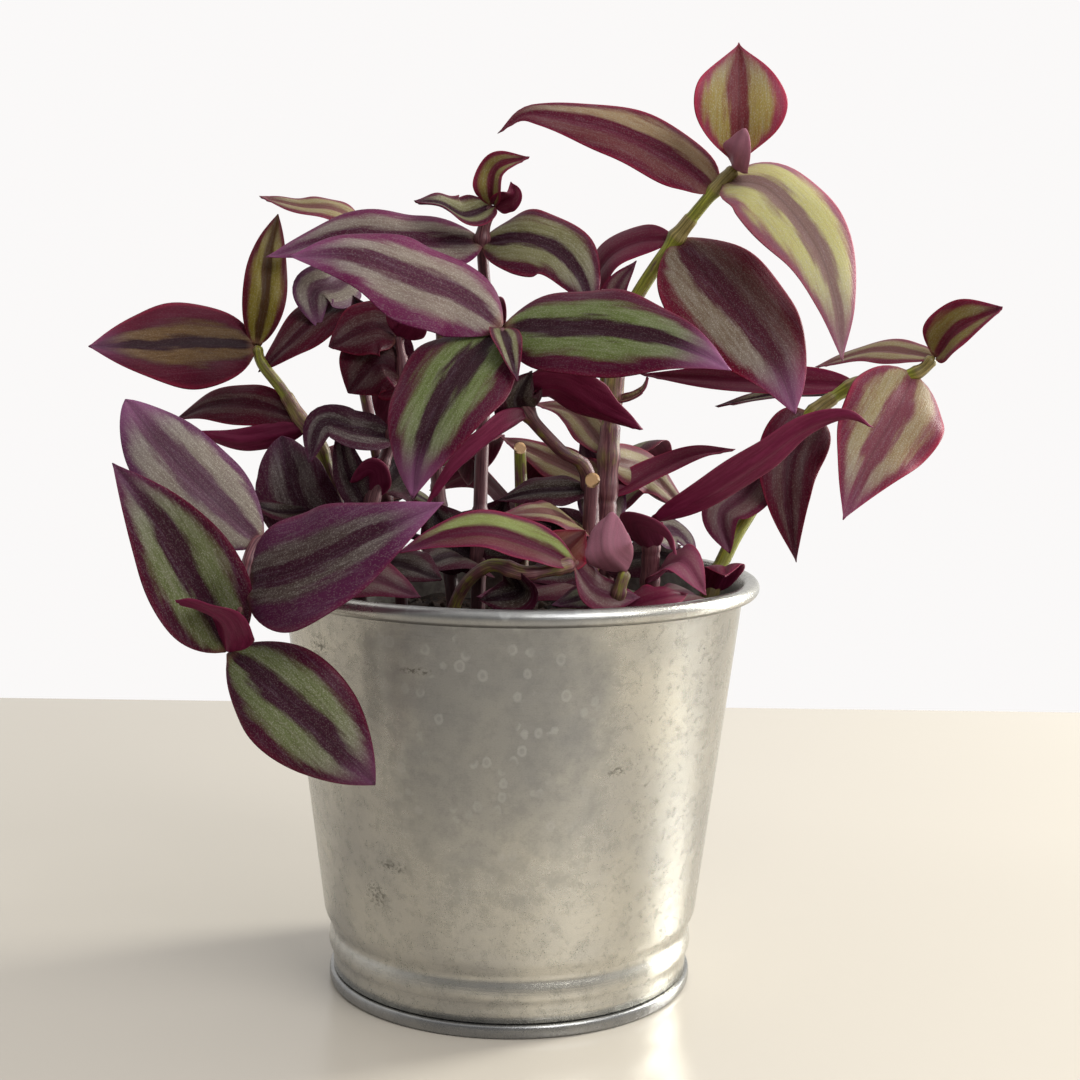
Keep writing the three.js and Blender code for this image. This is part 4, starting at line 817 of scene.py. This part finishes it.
def stem_material():
    g = material_graph("tradescantia_stem")
    along, turn, green = g.split(g.attribute("stalk"))[:3]
    sheath, cut = g.split(g.attribute("kind"))[:2]
    flat = g.node("CombineXYZ", {0: along, 1: turn}).outputs[0]
    streak = g.noise(g.scaled(flat, (0.12, 2.6, 1)), 1.0, 3.0, 0.6)
    blotch = g.noise(g.scaled(flat, (0.2, 0.5, 1)), 1.0, 3.0, 0.6)
    fine = g.noise(g.scaled(flat, (1.2, 5.0, 1)), 1.5, 2.0, 0.6)
    purple = g.mix(g.step(streak, 0.35, 0.65), (62, 26, 36), (112, 64, 70))
    lime = g.mix(g.step(streak, 0.35, 0.7), (94, 98, 16), (148, 150, 46))
    share = g.step(g.plus(green, g.minus(blotch, 0.5)), 0.3, 0.62)
    colour = g.mix(share, purple, lime)
    cover = g.mix(g.step(streak, 0.42, 0.58), (84, 34, 50), (142, 96, 98))
    colour = g.mix(g.times(sheath, 0.4), colour, cover)
    colour = g.mix(g.times(g.step(fine, 0.55, 0.7), 0.3), colour, (70, 26, 44))
    # Painted shade: each stem is darkened near its foot, low among the leaves.
    colour = g.mix(g.times(g.step(along, 42.0, 18.0), 0.45), colour, (52, 26, 32))
    colour = g.mix(g.step(cut, 0.3, 0.7), colour, g.mix(fine, (146, 108, 70), (194, 160, 116)))
    normal = g.bump(g.plus(streak, g.times(fine, 0.3)), 0.0001, 0.4)
    return g.finish(g.skin(colour, g.plus(0.36, g.times(fine, 0.25)), Normal=normal))


def soil_material():
    g = material_graph("potting_soil_dark")
    at = g.node("TexCoord").outputs["Object"]
    coarse = g.noise(at, 220.0, 4.0, 0.65)
    fine = g.noise(at, 1400.0, 4.0, 0.7)
    colour = g.mix(g.step(coarse, 0.35, 0.65), (28, 18, 14), (64, 44, 32))
    colour = g.mix(g.step(fine, 0.6, 0.72), colour, (104, 78, 56))
    normal = g.bump(g.plus(coarse, g.times(fine, 0.5)), 0.0012, 0.9)
    return g.finish(g.skin(colour, g.plus(0.7, g.times(fine, 0.3)), Normal=normal))


# Places on the wall are in millimetres: round it to the right from the front, and up.
WALL_MEAN_RADIUS = 50.0
REFLECTION_AND_DROPS_SIDE = -3.0  # a darker bluish patch at the front, a painted reflection of the dark space in front of the pot; drops of water have also dried there
DRIP_SIDE = -30.0  # a dark drip below the rim
# Each stain: its place round the wall, height, half width and half height.
STAINS = ((-19, 86, 4.0, 0.9), (-46, 88, 3.6, 3.0), (-44, 80, 5.0, 1.6), (-28, 39, 4.5, 1.6),
          (-34, 31, 3.6, 3.2), (24, 63, 2.5, 1.2))


def steel_material():
    g = material_graph("galvanised_steel")
    place = g.node("TexCoord").outputs
    at = place["Object"]
    x, y, z = g.split(at)[:3]
    angle = g.math("ARCTAN2", x, g.times(y, -1.0))
    around, up = g.times(angle, WALL_MEAN_RADIUS), g.times(z, 1 / MM)
    sheet = g.node("CombineXYZ", {0: around, 1: up}).outputs[0]
    solid = g.scaled(at, (1 / MM,) * 3)
    spangle = g.split(g.cells(solid, 0.16, output="Color"))[0]
    cloud = g.noise(solid, 0.03, 3.0, 0.6)
    mottle = g.noise(solid, 0.3, 5.0, 0.7)
    brushed = g.noise(g.scaled(sheet, (0.06, 2.2, 1)), 1.0, 4.0, 0.65)
    grain = g.noise(g.scaled(sheet, (1.0, 2.0, 1)), 2.2, 4.0, 0.75)
    colour = g.mix(g.step(cloud, 0.3, 0.7), (178, 177, 173), (203, 200, 190))
    colour = g.mix(g.times(g.step(mottle, 0.42, 0.68), 0.3), colour, (126, 126, 122))
    colour = g.mix(g.times(spangle, 0.05), colour, (205, 203, 196))
    colour = g.mix(g.times(g.step(brushed, 0.5, 0.7), 0.16), colour, (196, 190, 172))
    colour = g.mix(g.times(g.step(grain, 0.52, 0.68), 0.3), colour, (104, 102, 96))
    colour = g.mix(g.times(g.step(grain, 0.46, 0.34), 0.18), colour, (212, 208, 198))
    ragged = g.times(g.minus(g.noise(sheet, 0.09, 4.0, 0.6), 0.5), 26.0)
    side = g.plus(g.math("ABSOLUTE", g.minus(around, REFLECTION_AND_DROPS_SIDE)), ragged)
    reflection_and_drops = g.times(g.step(side, 32.0, 10.0), g.step(g.plus(up, ragged), 24.0, 66.0))
    # Painted reflection: the front patch is darkened to a bluish grey for the dark space mirrored there;
    # the water-drop rings in it are real marks.
    colour = g.mix(g.times(reflection_and_drops, 0.6), colour, (114, 117, 123))
    spots = g.plus(g.cells(g.scaled(sheet, (1.0, 0.75, 1)), 0.3), g.times(g.minus(mottle, 0.5), 0.3))
    ring = g.times(g.step(spots, 0.36, 0.28), g.step(spots, 0.12, 0.24))
    drop = g.plus(g.times(ring, 0.2), g.times(g.step(spots, 0.28, 0.2), 0.1))
    wet = g.times(reflection_and_drops, g.step(g.noise(sheet, 0.11, 1.0), 0.45, 0.55))
    drop = g.times(drop, wet)
    colour = g.mix(drop, colour, (204, 206, 208))
    stain = 0.0
    for centre, height, half_width, half_height in STAINS:
        off = g.node("VectorMath", {0: sheet, 1: (centre, height, 0)}, operation="SUBTRACT")
        off = g.scaled(off.outputs[0], (1 / half_width, 1 / half_height, 0))
        away = g.node("VectorMath", {0: off}, operation="LENGTH").outputs["Value"]
        stain = g.plus(g.step(away, 1.3, 0.4), stain)
    stain = g.times(stain, g.step(g.noise(sheet, 0.9, 4.0, 0.7), 0.46, 0.6))
    colour = g.mix(g.times(stain, 0.6), colour, (72, 68, 58))
    # Painted shade: the inside below the rim is darkened, where the leaves and the rim shade it, and it is
    # dull.
    outward = g.node("VectorMath", {0: place["Normal"], 1: at},
                     operation="DOT_PRODUCT").outputs["Value"]
    inside = g.times(g.step(outward, -0.004, -0.014), g.step(up, 99.5, 96.0))
    colour = g.mix(g.times(inside, g.plus(0.55, g.times(mottle, 0.4))), colour, (58, 52, 46))
    drip = g.times(g.step(g.math("ABSOLUTE", g.minus(around, DRIP_SIDE)), 3.2, 0.6),
                   g.times(g.step(up, 62.0, 78.0), g.step(up, 99.0, 92.0)))
    colour = g.mix(g.times(drip, 0.3), colour, (92, 90, 90))
    foot = g.step(up, 3.5, 3.1)
    colour = g.mix(g.times(foot, 0.55), colour, (96, 100, 110))
    rough = g.plus(0.14, g.times(g.plus(mottle, grain), 0.12))
    rough = g.plus(rough, g.times(g.plus(reflection_and_drops, inside), 0.08))
    rough = g.plus(rough, g.times(g.plus(drop, stain), 0.2))
    normal = g.bump(g.plus(brushed, g.times(grain, 0.7)), 0.00012, 0.4)
    normal = g.bump(cloud, 0.002, 0.3, normal)
    return g.finish(g.skin(colour, rough, Metallic=0.92, Normal=normal))


def floor_material():
    g = material_graph("pale_floor")
    at = g.node("TexCoord").outputs["Object"]
    colour = g.mix(g.noise(at, 3.0, 2.0), (178, 171, 160), (188, 181, 170))
    return g.finish(g.skin(colour, 0.22))


# ---------------- making it
leaf_skin = leaf_material()
stem_skin = stem_material()
for number, leaf_name in enumerate(LEAVES):
    make_leaf(leaf_name, number + 1, leaf_skin)
for stem_name in STEMS:
    make_stem(stem_name, stem_skin)
make_pot(steel_material())
make_soil(soil_material())


# ---------------- floor, light and camera
FLOOR_HALF = 700.0
FLOOR_BACK = 313.0
WORLD_FRONT = 0.22
WORLD_BACK = 0.75
WORLD_TOP = 0.4
WORLD_COLOUR = (1.0, 0.985, 0.965)
BACKDROP_COLOUR = (0.96, 0.945, 0.94)
# Each lamp: name, place, what it aims at, size, watts and colour.
LAMPS = (
    ("window", (0.96, 0.42, 0.42), (0, 0, 0.05), (0.26, 0.8), 22.0, (1.0, 0.995, 0.93)),
    ("fill", (0.5, -0.6, 0.7), (0.05, 0, 0.1), (0.6, 0.6), 7.0, (1.0, 0.99, 0.98)),
)


def make_floor():
    corners = [(-FLOOR_HALF, -2 * FLOOR_HALF, 0), (FLOOR_HALF, -2 * FLOOR_HALF, 0),
               (FLOOR_HALF, FLOOR_BACK, 0), (-FLOOR_HALF, FLOOR_BACK, 0)]
    mesh_object("floor", corners, [(0, 1, 2, 3)], floor_material())


def area_light(name, place, aim, size, power, colour):
    data = bpy.data.lights.new(name, "AREA")
    data.shape = "RECTANGLE"
    data.size, data.size_y = size
    data.energy = power
    data.color = colour
    lamp = bpy.data.objects.new(name, data)
    bpy.context.collection.objects.link(lamp)
    lamp.location = place
    lamp.rotation_euler = (Vector(aim) - Vector(place)).to_track_quat("-Z", "Y").to_euler()


def make_world():
    """Soft light all round, brighter behind and above than in front; the camera sees it plain."""
    world = bpy.data.worlds.new("studio")
    bpy.context.scene.world = world
    g = Graph(world)
    way = g.split(g.node("TexCoord").outputs["Generated"])
    behind = g.step(way["Y"], -0.75, 0.1, WORLD_FRONT, WORLD_BACK)
    above = g.step(way["Z"], 0.3, 0.9, 0.0, WORLD_TOP, "LINEAR")
    light = g.node("Background", {"Color": WORLD_COLOUR, "Strength": g.plus(behind, above)})
    plain = g.node("Background", {"Color": BACKDROP_COLOUR})
    seen = g.node("LightPath").outputs["Is Camera Ray"]
    g.finish(g.blend(seen, light, plain), "OutputWorld")


def make_camera():
    data = bpy.data.cameras.new("camera")
    data.sensor_width = SENSOR_WIDTH
    data.lens = LENS
    data.clip_start = 0.01
    camera = bpy.data.objects.new("camera", data)
    bpy.context.collection.objects.link(camera)
    forward = Vector((0, math.cos(PITCH), -math.sin(PITCH)))
    level = Vector((1, 0, 0))
    rise = level.cross(forward)
    right = math.cos(ROLL) * level + math.sin(ROLL) * rise
    top = -math.sin(ROLL) * level + math.cos(ROLL) * rise
    turn = Matrix((right, top, -forward)).transposed().to_4x4()
    camera.matrix_world = Matrix.Translation(Vector(CAMERA_AT) * MM) @ turn
    bpy.context.scene.camera = camera


make_floor()
make_world()
for lamp in LAMPS:
    area_light(*lamp)
make_camera()
bpy.context.scene.view_settings.view_transform = "Standard"
